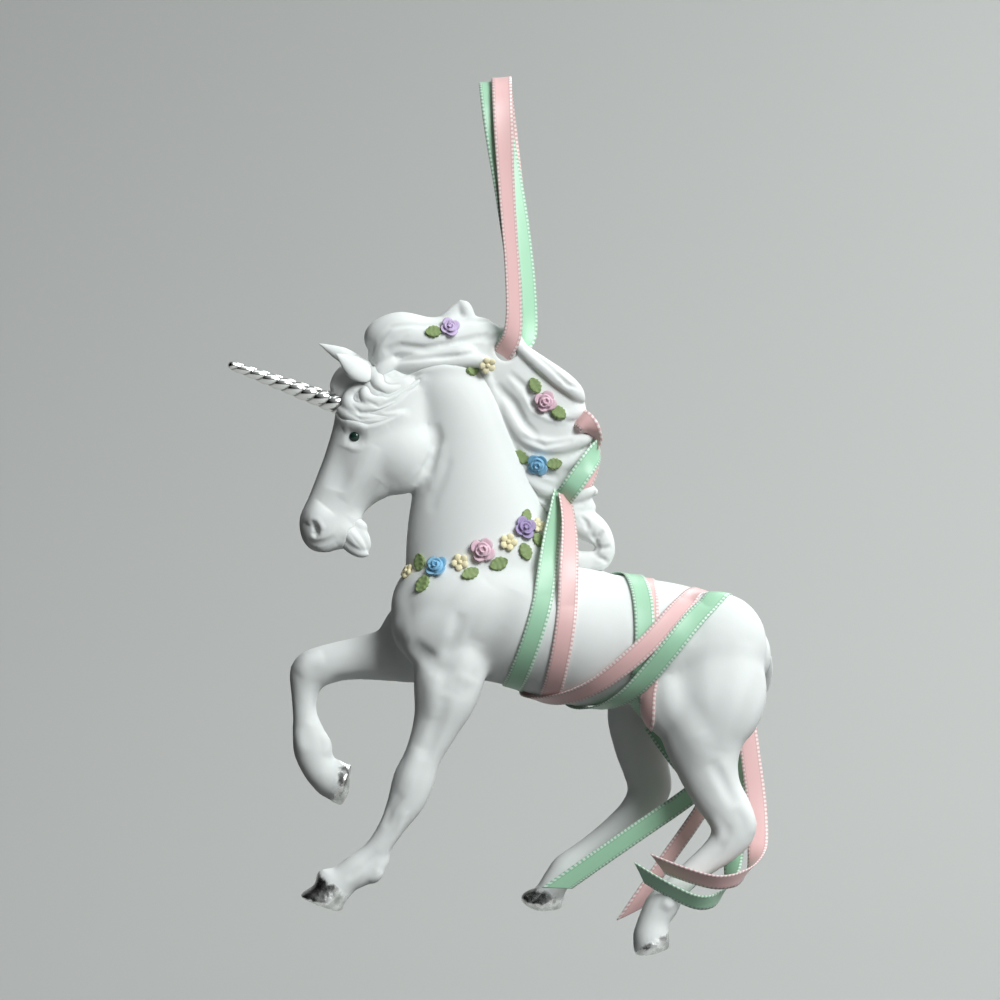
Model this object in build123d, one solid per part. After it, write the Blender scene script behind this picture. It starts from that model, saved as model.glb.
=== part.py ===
"""A bisque porcelain unicorn ornament that hangs from a doubled satin ribbon.

The figure is an assembly of slip castings luted together: a hollow torso, a neck, a head, four legs
with silvered hooves, a mane of free-standing locks and a tail. A silver horn is glued into the forehead,
and small porcelain roses, blossoms and leaves are set on the mane and round the neck. One pink and
one green ribbon form the hanging loop, wind round the body and end in loose tails.

Row frame: the origin is where the loop bears on its hook, +Z is up, the unicorn faces -X and its
left side faces -Y. The figure frame has the same axes, but its origin is the centre of the hanger hole
in the mane and it is turned by HANG_TILT, the angle at which the figure hangs below that hole.
"""

import os
from math import cos, radians, sin

from build123d import *

# Figure: how it hangs, and the sizes that all its pieces share
HANG_TILT = 4.4
LOOP_DROP = 41.2
GLUE_GAP = 0.05
LUTING_GAP = 0.03
CUT_OVERRUN = 30.0
EASING_STEPS = 3
NEAR = -1
FAR = 1

# Torso: a hollow barrel from chest to rump, with a vent under the belly
CHEST_REACH = 17.8
CHEST_DROP = 40.6
TORSO_LENGTH = 58.8
TORSO_DEPTH = 21.7
TORSO_BREADTH = 20.8
TORSO_WALL = 3.0
VENT_DIAMETER = 2.4
VENT_SHARE = 0.56
# along, lift of the centre, depth, breadth
TORSO_SHARES = [
    (0.000, 0.000, 0.11, 0.12),
    (0.024, 0.000, 0.49, 0.46),
    (0.100, 0.000, 0.83, 0.79),
    (0.235, 0.000, 0.97, 0.92),
    (0.393, -0.107, 1.00, 0.97),
    (0.525, -0.186, 0.97, 1.00),
    (0.657, -0.200, 0.885, 0.95),
    (0.789, -0.236, 0.83, 0.97),
    (0.894, -0.280, 0.685, 0.87),
    (0.968, -0.300, 0.41, 0.58),
    (1.000, -0.307, 0.10, 0.15),
]

# Neck: it stands on the torso, so far behind the chest and above the torso's middle line,
# and ends under the mane
NECK_ALONG = 15.6
NECK_SEAT = 3.1
NECK_TOP_DROP = 3.4
NECK_LEAN = 10.4
NECK_DEPTH = 26.4
NECK_BREADTH = 15.0
# lean, rise, side, depth, breadth
NECK_SHARES = [
    (0.00, 0.000, 0.0, 0.96, 1.00),
    (0.12, 0.145, 0.0, 0.94, 0.93),
    (0.24, 0.320, 0.0, 0.82, 0.80),
    (0.37, 0.600, 0.0, 0.61, 0.66),
    (0.54, 0.830, 0.0, 0.49, 0.60),
    (0.84, 0.970, 0.0, 0.42, 0.56),
    (1.12, 1.040, 0.0, 0.30, 0.46),
]

# Head, turned a little to the left about the poll
POLL_AHEAD = 14.6
POLL_DROP = 5.1
HEAD_TURN = 8.0
HEAD_REACH = 14.3
HEAD_DROP = 25.9
HEAD_DEPTH = 16.1
HEAD_BREADTH = 11.0
# reach, drop, side, depth, breadth
HEAD_SHARES = [
    (-0.02, 0.030, 0.0, 0.63, 0.76),
    (0.163, 0.150, 0.0, 0.88, 0.92),
    (0.337, 0.340, 0.0, 1.00, 1.00),
    (0.533, 0.490, 0.0, 0.81, 0.87),
    (0.717, 0.623, 0.0, 0.62, 0.68),
    (0.848, 0.750, 0.0, 0.54, 0.60),
    (0.924, 0.862, 0.0, 0.56, 0.63),
    (0.967, 0.952, 0.0, 0.42, 0.55),
    (0.978, 1.012, 0.0, 0.18, 0.28),
]
EYE_DIAMETER = 1.5
EYE_HEIGHT = 0.45
EYE_REACH_SHARE = 0.61
EYE_DROP_SHARE = 0.325

# Ears: places are shares of the head's reach, drop and breadth
EAR_DEPTH = 3.1
EAR_BREADTH = 2.8
EAR_LEFT_SHARES = [
    (0.46, 0.030, -0.30, 1.00, 1.00),
    (0.61, -0.055, -0.36, 0.82, 0.80),
    (0.77, -0.130, -0.40, 0.16, 0.18),
]
EAR_RIGHT_SHARES = [
    (0.60, -0.030, 0.28, 1.00, 1.00),
    (0.80, -0.140, 0.34, 0.80, 0.80),
    (1.01, -0.225, 0.38, 0.16, 0.18),
]

# Forelock, from the poll to the horn and back along the left cheek
FORELOCK_DEPTH = 5.6
FORELOCK_BREADTH = 7.4
FORELOCK_SHARES = [
    (0.44, -0.100, 0.00, 0.68, 0.90),
    (0.67, -0.030, -0.12, 1.00, 0.95),
    (0.75, 0.090, -0.26, 0.86, 0.66),
    (0.54, 0.174, -0.43, 0.66, 0.40),
    (0.22, 0.185, -0.49, 0.52, 0.30),
    (0.02, 0.165, -0.47, 0.24, 0.18),
]

# Beard
BEARD_DEPTH = 3.6
BEARD_BREADTH = 3.6
BEARD_SHARES = [
    (0.62, 0.860, 0.0, 1.00, 1.00),
    (0.55, 0.940, 0.0, 0.62, 0.70),
    (0.49, 1.010, 0.0, 0.24, 0.30),
]

# Horn: a tapering twist with a tang glued into the forehead
HORN_LENGTH = 17.3
HORN_DIAMETER = 3.3
HORN_TIP_DIAMETER = 0.9
HORN_PITCH = 2.1
HORN_RISE_ANGLE = 19.9
HORN_TWIST_SHARE = 0.10
HORN_STEPS_PER_TURN = 6
HORN_REACH_SHARE = 0.85
HORN_DROP_SHARE = 0.120
TANG_DIAMETER = 1.4
TANG_LENGTH = 3.0

# Legs: the top's place behind the chest and below the torso's middle line, then reach and drop to the
# coronet, and the thickness across and along Y
LEG_SIZES = {
    "foreleg_left": dict(along=9.4, below=6.7, side=-5.2, reach=18.6, drop=35.8, depth=13.0, breadth=8.6),
    "foreleg_right": dict(along=3.7, below=6.7, side=5.0, reach=17.4, drop=19.8, depth=9.3, breadth=7.6),
    "hindleg_left": dict(along=50.2, below=4.4, side=-6.2, reach=10.2, drop=45.1, depth=16.3, breadth=10.0),
    "hindleg_right": dict(along=42.9, below=6.7, side=6.2, reach=18.1, drop=37.4, depth=14.0, breadth=9.6),
}
# reach, drop, outward side, depth, breadth
LEG_SHARES = {
    "foreleg_left": [
        (-0.070, -0.200, -0.20, 0.76, 0.50),
        (-0.020, -0.060, -0.04, 0.92, 0.80),
        (0.042, 0.153, 0.02, 0.79, 0.88),
        (0.125, 0.293, 0.04, 0.57, 0.68),
        (0.233, 0.424, 0.05, 0.45, 0.56),
        (0.308, 0.524, 0.06, 0.50, 0.58),
        (0.375, 0.620, 0.06, 0.45, 0.54),
        (0.492, 0.729, 0.07, 0.32, 0.42),
        (0.625, 0.834, 0.07, 0.31, 0.40),
        (0.760, 0.910, 0.08, 0.41, 0.48),
        (0.890, 0.956, 0.08, 0.37, 0.48),
        (0.983, 1.010, 0.08, 0.40, 0.56),
    ],
    "foreleg_right": [
        (-0.380, -0.180, -0.24, 0.86, 0.60),
        (-0.080, -0.030, -0.06, 1.06, 0.92),
        (0.241, 0.008, 0.02, 0.90, 0.92),
        (0.536, 0.039, 0.04, 0.72, 0.80),
        (0.777, 0.078, 0.05, 0.67, 0.74),
        (0.955, 0.148, 0.06, 0.68, 0.70),
        (1.000, 0.312, 0.06, 0.48, 0.54),
        (1.000, 0.469, 0.06, 0.42, 0.50),
        (0.964, 0.633, 0.06, 0.57, 0.56),
        (0.929, 0.758, 0.06, 0.66, 0.60),
        (0.870, 0.905, 0.06, 0.58, 0.60),
        (0.759, 1.000, 0.06, 0.64, 0.70),
    ],
    "hindleg_left": [
        (0.000, 0.000, -0.04, 0.80, 0.74),
        (0.045, 0.172, 0.00, 0.99, 1.00),
        (0.197, 0.309, 0.00, 0.84, 0.90),
        (0.152, 0.419, 0.02, 0.61, 0.68),
        (0.015, 0.509, 0.03, 0.495, 0.56),
        (-0.167, 0.577, 0.04, 0.457, 0.50),
        (-0.242, 0.639, 0.04, 0.43, 0.46),
        (-0.045, 0.704, 0.04, 0.324, 0.40),
        (0.273, 0.763, 0.04, 0.257, 0.37),
        (0.606, 0.832, 0.04, 0.248, 0.37),
        (0.818, 0.890, 0.04, 0.324, 0.44),
        (0.955, 0.942, 0.04, 0.295, 0.44),
        (1.000, 0.997, 0.04, 0.352, 0.54),
    ],
    "hindleg_right": [
        (0.000, 0.000, -0.04, 0.95, 0.76),
        (0.197, 0.236, 0.00, 0.82, 0.94),
        (0.222, 0.373, 0.01, 0.62, 0.74),
        (0.171, 0.485, 0.02, 0.53, 0.60),
        (0.145, 0.568, 0.03, 0.50, 0.52),
        (0.256, 0.656, 0.03, 0.38, 0.44),
        (0.470, 0.743, 0.03, 0.29, 0.39),
        (0.684, 0.826, 0.03, 0.28, 0.39),
        (0.855, 0.900, 0.03, 0.355, 0.46),
        (0.949, 0.950, 0.03, 0.31, 0.46),
        (1.000, 1.000, 0.03, 0.33, 0.54),
    ],
}

# Hooves: the silvered ends below the coronet, with the way that each points and its sole faces, in degrees
HOOF_HEIGHT = 2.7
HOOF_LENGTH = 7.2
HOOF_BREADTH = 6.2
HOOF_ANGLES = {
    "foreleg_left": (-47.0, -21.0),
    "foreleg_right": (74.0, 78.0),
    "hindleg_left": (4.0, 12.0),
    "hindleg_right": (-32.0, -10.0),
}
HOOF_LENGTH_SHARES = {
    "foreleg_left": 1.06,
    "foreleg_right": 0.96,
    "hindleg_left": 0.82,
    "hindleg_right": 0.92,
}

# Tail: a lock that falls on the right of the rump
TAIL_REACH = 8.4
TAIL_DROP = 25.0
TAIL_SIDE = 10.0
TAIL_DEPTH = 4.6
TAIL_BREADTH = 4.4
TAIL_START_SHARE = 0.985
# reach, drop, side, depth, breadth
TAIL_SHARES = [
    (0.00, 0.00, 0.05, 0.45, 0.60),
    (-0.02, 0.14, 0.50, 0.60, 0.95),
    (0.26, 0.36, 0.92, 0.85, 1.00),
    (0.60, 0.60, 1.02, 0.95, 0.95),
    (0.92, 0.84, 0.95, 0.75, 0.70),
    (1.08, 1.00, 0.86, 0.22, 0.25),
]

# Mane panel: thin free-standing hair behind the neck, with the hanger hole at its top
MANE_SWEEP = 14.0
MANE_DROP = 26.4
MANE_BREADTH = 4.6
HANGER_HOLE_DIAMETER = 3.5
# x and z of the front edge, x and z of the rear edge, breadth
MANE_SHARES = [
    (-0.23, 0.070, -0.01, 0.140, 0.35),
    (-0.31, 0.000, 0.11, 0.125, 0.66),
    (-0.35, -0.140, 0.21, 0.050, 0.68),
    (-0.28, -0.290, 0.467, -0.082, 0.88),
    (-0.17, -0.400, 0.79, -0.210, 1.00),
    (-0.10, -0.540, 0.89, -0.340, 1.00),
    (-0.03, -0.660, 0.933, -0.506, 1.00),
    (0.04, -0.780, 0.91, -0.680, 0.96),
    (0.16, -0.890, 0.933, -0.847, 0.90),
    (0.34, -1.000, 0.82, -0.976, 0.70),
]

# Mane crest: the thick roll on top of the neck, with one tuft blown upright
CREST_LENGTH = 20.8
CREST_HEIGHT = 9.0
CREST_BREADTH = 8.0
# length, height, side, depth, breadth
CREST_SHARES = [
    (0.990, -0.034, 0.0, 0.28, 0.30),
    (0.933, 0.120, 0.0, 0.76, 0.75),
    (0.791, 0.172, 0.0, 0.97, 1.00),
    (0.567, 0.138, 0.0, 0.86, 0.97),
    (0.343, 0.172, 0.0, 0.86, 0.76),
    (0.157, 0.172, 0.0, 0.76, 0.46),
    (0.045, 0.155, 0.0, 0.52, 0.34),
]
TUFT_SHARES = [
    (0.45, 0.36, 0.0, 0.50, 0.44),
    (0.38, 0.64, 0.0, 0.28, 0.28),
    (0.32, 0.84, 0.0, 0.12, 0.12),
]

# Mane lock over the ribbons and mane curl above the withers: shares of the mane's sweep, drop and breadth
LOCK_DEPTH = 3.0
LOCK_BREADTH = 2.6
LOCK_SHARES = [
    (0.66, -0.740, 0.0, 0.90, 0.90),
    (0.80, -0.790, 0.0, 1.00, 1.00),
    (0.92, -0.822, 0.0, 0.74, 0.80),
    (1.02, -0.840, 0.0, 0.28, 0.34),
]
CURL_DEPTH = 3.2
CURL_BREADTH = 3.8
CURL_SHARES = [
    (0.50, -0.970, 0.0, 0.96, 0.86),
    (0.80, -0.972, 0.0, 1.00, 1.00),
    (1.02, -1.045, 0.0, 0.96, 1.00),
    (1.10, -1.160, 0.0, 0.92, 0.96),
    (1.02, -1.262, 0.0, 0.72, 0.80),
    (0.88, -1.262, 0.0, 0.36, 0.50),
]

# Flowers: roses are domes of stepped petals, blossoms have five petals, leaves are pointed ovals
ROSE_DIAMETER = 3.6
ROSE_HEIGHT = 1.9
ROSE_STEP_SHARES = [(1.0, 0.50), (0.68, 0.80), (0.36, 1.0)]
ROSE_ROUND_SHARE = 0.6
BLOSSOM_DIAMETER = 2.8
BLOSSOM_HEIGHT = 0.7
BLOSSOM_PETALS = 5
BLOSSOM_PETAL_SHARE = 0.46
LEAF_LENGTH = 2.7
LEAF_WIDTH = 1.5
LEAF_HEIGHT = 0.45
LEAF_GAP = 0.15
# x and z as shares of the mane's sweep and drop
MANE_ROSE_SHARES = {
    "mane_rose_pink": (0.433, -0.306),
    "mane_rose_blue": (0.356, -0.670),
    "mane_rose_lilac": (-0.620, 0.124),
}
MANE_BLOSSOM_SHARE = (-0.210, -0.088)
# the leaves beside each rose, by their direction in degrees
MANE_LEAF_TURNS = {
    "mane_rose_pink": (122.0, 320.0),
    "mane_rose_blue": (158.0, 2.0),
    "mane_rose_lilac": (190.0,),
}
MANE_BLOSSOM_LEAF_TURN = 200.0

# Garland round the base of the neck: from the chest back to the mane
GARLAND_ALONG = 1.8
GARLAND_SEAT = 5.7
GARLAND_LENGTH = 22.0
GARLAND_RISE = 8.0
GARLAND_ROSE_SHARES = {
    "garland_rose_blue": (0.246, 0.154),
    "garland_rose_pink": (0.563, 0.480),
    "garland_rose_violet": (0.852, 0.904),
}
GARLAND_BLOSSOM_SHARES = [(0.075, 0.06), (0.408, 0.25), (0.715, 0.62)]
GARLAND_LEAF_TURNS = {
    "garland_rose_blue": (120.0, 235.0),
    "garland_rose_pink": (240.0, 300.0),
    "garland_rose_violet": (130.0, 285.0, 350.0),
}

# Ribbons: the satin is this wide and thick, and lies this far off the porcelain and off a ribbon below it
RIBBON_WIDTH = 3.1
RIBBON_THICKNESS = 0.30
RIBBON_CLEARANCE = 0.35
LOOP_RADIUS = 8.0
LOOP_LOWER_RADIUS = 0.9
LOOP_LAYER_GAP = 0.12

# Windings: along the torso, angle round it (0 at the back, 90 on the left, 180 at the belly), layer
GIRTH_SHARES = {
    "girth_ribbon_pink": [
        (0.462, 66, 0), (0.451, 97, 0), (0.432, 132, 0), (0.418, 158, 0), (0.410, 180, 0), (0.424, 203, 0),
        (0.451, 225, 0), (0.486, 248, 0), (0.520, 270, 0), (0.562, 293, 0), (0.604, 315, 0), (0.645, 338, 0),
        (0.665, 360, 0), (0.671, 385, 0), (0.673, 410, 0), (0.673, 435, 0), (0.672, 460, 0), (0.672, 485, 0),
        (0.676, 508, 0),
    ],
    "girth_ribbon_green": [
        (0.398, 67, 0), (0.369, 103, 0), (0.338, 138, 0), (0.322, 162, 0), (0.319, 180, 0), (0.338, 203, 0),
        (0.378, 225, 1), (0.418, 248, 1), (0.459, 270, 1), (0.507, 293, 1), (0.553, 315, 1), (0.602, 338, 1),
        (0.633, 360, 1), (0.647, 385, 1), (0.658, 410, 1), (0.662, 435, 1), (0.660, 460, 1), (0.652, 485, 1),
        (0.648, 508, 1),
    ],
}
FLANK_SHARES = {
    "flank_ribbon_pink": [
        (0.398, 293, 1), (0.388, 270, 1), (0.378, 248, 2), (0.370, 225, 2), (0.366, 203, 2), (0.372, 180, 2),
        (0.446, 155, 1), (0.525, 131, 1), (0.604, 109, 2), (0.683, 87, 2), (0.749, 59, 1), (0.790, 34, 0),
        (0.822, 8, 0), (0.835, -18, 0), (0.846, -45, 0), (0.852, -72, 0), (0.858, -98, 0), (0.866, -122, 0),
    ],
    "flank_ribbon_green": [
        (0.468, 298, 2), (0.464, 275, 2), (0.462, 250, 2), (0.464, 225, 2), (0.474, 203, 1), (0.505, 180, 1),
        (0.572, 158, 2), (0.626, 142, 2), (0.680, 121, 2), (0.733, 98, 2), (0.785, 74, 1), (0.836, 50, 0),
        (0.874, 22, 0), (0.890, -4, 0), (0.900, -32, 0), (0.908, -60, 0), (0.912, -86, 0), (0.916, -106, 0),
    ],
}

# Free stretches before and after the windings, as points measured from the torso's middle line at the chest
GIRTH_LEAD = {
    "girth_ribbon_pink": [(27.7, -4.3, 16.4), (27.6, -5.9, 12.0), (27.4, -8.0, 7.4)],
    "girth_ribbon_green": [(25.5, -3.4, 16.6), (24.7, -5.0, 12.0), (24.2, -7.4, 7.4)],
}
GIRTH_TRAIL = {
    "girth_ribbon_pink": [(40.8, -1.8, -15.3), (41.6, -0.3, -16.4)],
    "girth_ribbon_green": [(38.2, -2.8, -15.2), (39.8, -1.2, -16.6)],
}
FLANK_LEAD = {
    "flank_ribbon_pink": [(24.4, 3.4, 16.9), (24.4, 5.2, 11.9), (24.3, 7.9, 7.3)],
    "flank_ribbon_green": [(28.0, 3.4, 16.6), (27.9, 5.6, 11.9), (27.7, 8.6, 6.8)],
}
FLANK_TRAIL = {
    "flank_ribbon_pink": [(53.0, 3.9, -16.0), (55.4, 1.9, -17.0)],
    "flank_ribbon_green": [(54.6, 6.0, -12.8)],
}

# Ribbon in the mane and loose tails, as points of the figure frame and the direction across at each one
MANE_RIBBON_ROUTES = {
    "mane_ribbon_pink": [
        (2.2, 2.6, -1.8), (5.4, 3.1, -5.4), (9.6, 2.9, -9.6), (13.2, 1.8, -13.0), (14.6, -0.2, -15.2),
        (13.2, -2.2, -17.4), (11.4, -3.0, -20.0), (10.0, -3.2, -22.4),
    ],
    "mane_ribbon_green": [
        (2.2, 3.3, -1.8), (5.4, 3.8, -5.4), (9.7, 3.6, -9.5), (13.6, 2.4, -12.8), (15.3, -0.2, -15.2),
        (13.5, -2.9, -17.1), (11.4, -3.7, -19.4), (9.6, -3.9, -21.8),
    ],
}
MANE_RIBBON_SIDES = [
    (0.7, 0.0, 0.7), (0.7, 0.0, 0.7), (0.7, 0.0, 0.7), (0.5, -0.5, 0.7), (0.0, -0.7, 0.7),
    (-0.6, -0.3, 0.7), (-0.8, 0.0, 0.6), (-0.8, 0.0, 0.6),
]
RUMP_TAIL_ROUTES = {
    "rump_tail_pink": [
        (38.3, 1.5, -58.4), (38.5, 1.0, -63.0), (38.9, 0.2, -69.8), (39.1, -1.8, -76.0), (38.0, -5.8, -79.8),
        (35.0, -9.8, -81.4), (30.1, -11.0, -81.4), (23.1, -10.2, -78.6),
    ],
    "rump_tail_green": [
        (36.8, 5.6, -54.8), (36.4, 5.2, -60.0), (35.6, 2.6, -68.6), (35.4, -0.4, -77.5), (34.6, -4.0, -82.6),
        (31.6, -8.2, -85.0), (27.0, -9.6, -84.2), (20.3, -9.4, -80.0),
    ],
}
RUMP_TAIL_SIDES = [
    (1.0, 0.0, 0.0), (1.0, 0.0, 0.0), (1.0, 0.0, 0.0), (1.0, -0.1, 0.1), (0.5, -0.7, 0.5),
    (0.1, -0.3, 1.0), (0.0, 0.1, 1.0), (-0.3, 0.1, 1.0),
]
INNER_TAIL_ROUTES = {
    "inner_tail_pink": [
        (24.4, 0.1, -57.7), (27.8, 0.1, -62.8), (30.5, 0.1, -67.4), (31.0, 0.1, -70.2), (28.8, 0.1, -73.6),
        (24.2, 0.1, -80.0), (19.2, 0.1, -87.4),
    ],
    "inner_tail_green": [
        (22.6, -0.9, -57.7), (25.7, -0.9, -62.3), (28.8, -0.9, -65.9), (29.8, -0.9, -67.9),
        (27.3, -0.9, -69.9), (20.8, -0.9, -74.3), (14.6, -0.9, -78.6), (7.9, -0.9, -83.3),
    ],
}


def oval(centre, along, depth, breadth):
    """An oval face at centre, square to the direction along, which lies in the XZ plane."""
    across = Vector(along.Z, 0, -along.X)
    return Plane(origin=centre, x_dir=across, z_dir=along) * Ellipse(depth / 2, breadth / 2)


def upright(step):
    """A step without its sideways part, as a unit vector."""
    return Vector(step.X, 0, step.Z).normalized()


def eased(rows):
    """The rows with others worked out between them, on a smooth curve through each column."""
    last = len(rows) - 1
    smooth = []
    for i in range(last):
        around = zip(rows[max(i - 1, 0)], rows[i], rows[i + 1], rows[min(i + 2, last)])
        columns = [
            (b, (c - a) / 2, a - 5 * b / 2 + 2 * c - d / 2, (3 * b - a - 3 * c + d) / 2)
            for a, b, c, d in around
        ]
        for k in range(EASING_STEPS):
            t = k / EASING_STEPS
            smooth.append([p + q * t + r * t**2 + s * t**3 for p, q, r, s in columns])
    return smooth + [rows[-1]]


def tapered(origin, reach, side, rise, depth, breadth, shares):
    """A smooth solid through one oval for each row of shares: place, depth and breadth."""
    rows = eased(shares)
    points = [origin + Vector(reach * row[0], side * row[2], rise * row[1]) for row in rows]
    last = len(points) - 1
    steps = [points[min(i + 1, last)] - points[max(i - 1, 0)] for i in range(last + 1)]
    faces = [
        oval(point, upright(step), depth * row[3], breadth * row[4])
        for point, step, row in zip(points, steps, rows)
    ]
    return loft(faces).solid()


def torso_solid(wall, shares):
    """The barrel of the torso, drawn in by the wall."""
    faces = []
    for along, lift, depth, breadth in shares:
        centre = Vector(TORSO_LENGTH * along - CHEST_REACH, 0, TORSO_DEPTH * lift - CHEST_DROP)
        station = Plane(origin=centre, x_dir=(0, 0, 1), z_dir=(1, 0, 0))
        faces.append(station * Ellipse(TORSO_DEPTH * depth / 2 - wall, TORSO_BREADTH * breadth / 2 - wall))
    return loft(faces).solid()


def torso_centre(along):
    """The point on the torso's middle line at a share of its length."""
    for before, after in zip(TORSO_SHARES, TORSO_SHARES[1:]):
        if along <= after[0]:
            part = (along - before[0]) / (after[0] - before[0])
            lift = before[1] + part * (after[1] - before[1])
            return Vector(TORSO_LENGTH * along - CHEST_REACH, 0, TORSO_DEPTH * lift - CHEST_DROP)
    return Vector(TORSO_LENGTH - CHEST_REACH, 0, TORSO_DEPTH * TORSO_SHARES[-1][1] - CHEST_DROP)


def head_piece(depth, breadth, shares):
    """A tapered piece placed in shares of the head's reach, drop and breadth, before the head is turned."""
    origin = Vector(-POLL_AHEAD, 0, -POLL_DROP)
    return tapered(origin, -HEAD_REACH, HEAD_BREADTH, -HEAD_DROP, depth, breadth, shares)


def head_point(reach_share, drop_share):
    return Vector(-POLL_AHEAD - HEAD_REACH * reach_share, 0, -POLL_DROP - HEAD_DROP * drop_share)


def turned(shape):
    """A piece of the head after the head is turned about the poll."""
    return shape.rotate(Axis((-POLL_AHEAD, 0, 0), (0, 0, 1)), HEAD_TURN)


def without(shape, *others):
    """What is left of a shape where it meets the others: its largest solid."""
    return max((shape - list(others)).solids(), key=lambda solid: solid.volume)


def eye_cap():
    """A low round dome."""
    disc = Pos(0, 0, EYE_HEIGHT / 2) * Cylinder(EYE_DIAMETER / 2, EYE_HEIGHT)
    return fillet(disc.edges().group_by(Axis.Z)[-1], EYE_HEIGHT * ROSE_ROUND_SHARE)


def leg_top(name):
    """The place of a leg's top in the torso."""
    size = LEG_SIZES[name]
    return Vector(size["along"] - CHEST_REACH, size["side"], -CHEST_DROP - size["below"])


def leg_solid(name):
    """A leg from its top to its coronet."""
    size = LEG_SIZES[name]
    reach, outward, drop = -size["reach"], size["side"], -size["drop"]
    return tapered(leg_top(name), reach, outward, drop, size["depth"], size["breadth"], LEG_SHARES[name])


def hoof_solid(name):
    """The silvered end of a leg, from its coronet to its sole."""
    size = LEG_SIZES[name]
    before, end = [
        leg_top(name) + Vector(-size["reach"] * row[0], size["side"] * row[2], -size["drop"] * row[1])
        for row in eased(LEG_SHARES[name])[-2:]
    ]
    points, faces = [radians(angle) for angle in HOOF_ANGLES[name]]
    coronet = LEG_SHARES[name][-1]
    sole = end + Vector(sin(points), 0, -cos(points)) * HOOF_HEIGHT
    length = HOOF_LENGTH * HOOF_LENGTH_SHARES[name]
    rings = [
        oval(end, upright(end - before), size["depth"] * coronet[3], size["breadth"] * coronet[4]),
        oval(sole, Vector(sin(faces), 0, -cos(faces)), length, HOOF_BREADTH),
    ]
    return loft(rings).solid()


def horn_solid():
    """A taper whose round section circles its own axis once a pitch, on a straight tang."""
    turns = round(HORN_LENGTH / HORN_PITCH)
    count = turns * HORN_STEPS_PER_TURN
    faces = []
    for step in range(count + 1):
        diameter = HORN_DIAMETER + (HORN_TIP_DIAMETER - HORN_DIAMETER) * step / count
        turn = radians(360 * step / HORN_STEPS_PER_TURN)
        offset = diameter * HORN_TWIST_SHARE
        centre = Vector(offset * cos(turn), offset * sin(turn), HORN_LENGTH * step / count)
        faces.append(Plane(origin=centre, x_dir=(1, 0, 0), z_dir=(0, 0, 1)) * Circle(diameter / 2))
    tang = Pos(0, 0, -TANG_LENGTH / 2) * Cylinder(TANG_DIAMETER / 2, TANG_LENGTH)
    return (loft(faces) + tang).solid()


def outermost(solids, axis):
    """The last point where an axis leaves the solids, within the torso's depth, and the normal there."""
    hits = [hit for solid in solids for hit in solid.shell().find_intersection_points(axis)]
    near_hits = [hit for hit in hits if (hit[0] - axis.position).length < TORSO_DEPTH]
    point, normal = max(near_hits, key=lambda hit: (hit[0] - axis.position).dot(axis.direction))
    return (point, normal) if normal.dot(axis.direction) > 0 else (point, normal * -1)


def seat(solids, x, z, hand, turn=0.0):
    """The plane on which a flower sits, at x and z on the left or right of the solids."""
    start = Vector(x, 0, z)
    point, normal = outermost(solids, Axis(start, (0, hand, 0)))
    along = Vector(cos(radians(turn)), 0, sin(radians(turn)))
    return Plane(origin=point + normal * LUTING_GAP, x_dir=along - normal * along.dot(normal), z_dir=normal)


def rose(place):
    """A dome of stepped petals."""
    tiers = []
    for width_share, height_share in ROSE_STEP_SHARES:
        height = ROSE_HEIGHT * height_share
        radius = ROSE_DIAMETER * width_share / 2
        tier = Pos(0, 0, height / 2) * Cylinder(radius, height)
        tiers.append(fillet(tier.edges().group_by(Axis.Z)[-1], min(radius, height) * ROSE_ROUND_SHARE))
    return (place * (tiers[0] + tiers[1:])).solid()


def blossom(place):
    """Five round petals about a middle."""
    petal = BLOSSOM_DIAMETER * BLOSSOM_PETAL_SHARE / 2
    ring = BLOSSOM_DIAMETER / 2 - petal
    outline = Circle(ring) + [spot * Circle(petal) for spot in PolarLocations(ring, BLOSSOM_PETALS)]
    return (place * extrude(outline, BLOSSOM_HEIGHT)).solid()


def leaf(place):
    """A pointed oval where two discs cross."""
    radius = (LEAF_LENGTH**2 + LEAF_WIDTH**2) / (4 * LEAF_WIDTH)
    shift = radius - LEAF_WIDTH / 2
    outline = (Pos(0, shift) * Circle(radius)) & (Pos(0, -shift) * Circle(radius))
    return (place * extrude(outline, LEAF_HEIGHT)).solid()


def leaf_share(flower, reach, turn, sweep, drop):
    """The place of a leaf beside a flower of a given radius, as shares of the sweep and the drop."""
    away = reach + LEAF_LENGTH / 2 + LEAF_GAP
    x = sweep * flower[0] + away * cos(radians(turn))
    z = drop * flower[1] + away * sin(radians(turn))
    return (x / sweep, z / drop)


def band(points, sides):
    """A flat ribbon through the points, with the direction across it at each one."""
    last = len(points) - 1
    faces = []
    for i, (point, side) in enumerate(zip(points, sides)):
        along = (points[min(i + 1, last)] - points[max(i - 1, 0)]).normalized()
        across = (side - along * side.dot(along)).normalized()
        plane = Plane(origin=point, x_dir=across, z_dir=along)
        faces.append(plane * Rectangle(RIBBON_WIDTH, RIBBON_THICKNESS))
    return loft(faces, ruled=True).solid()


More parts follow.
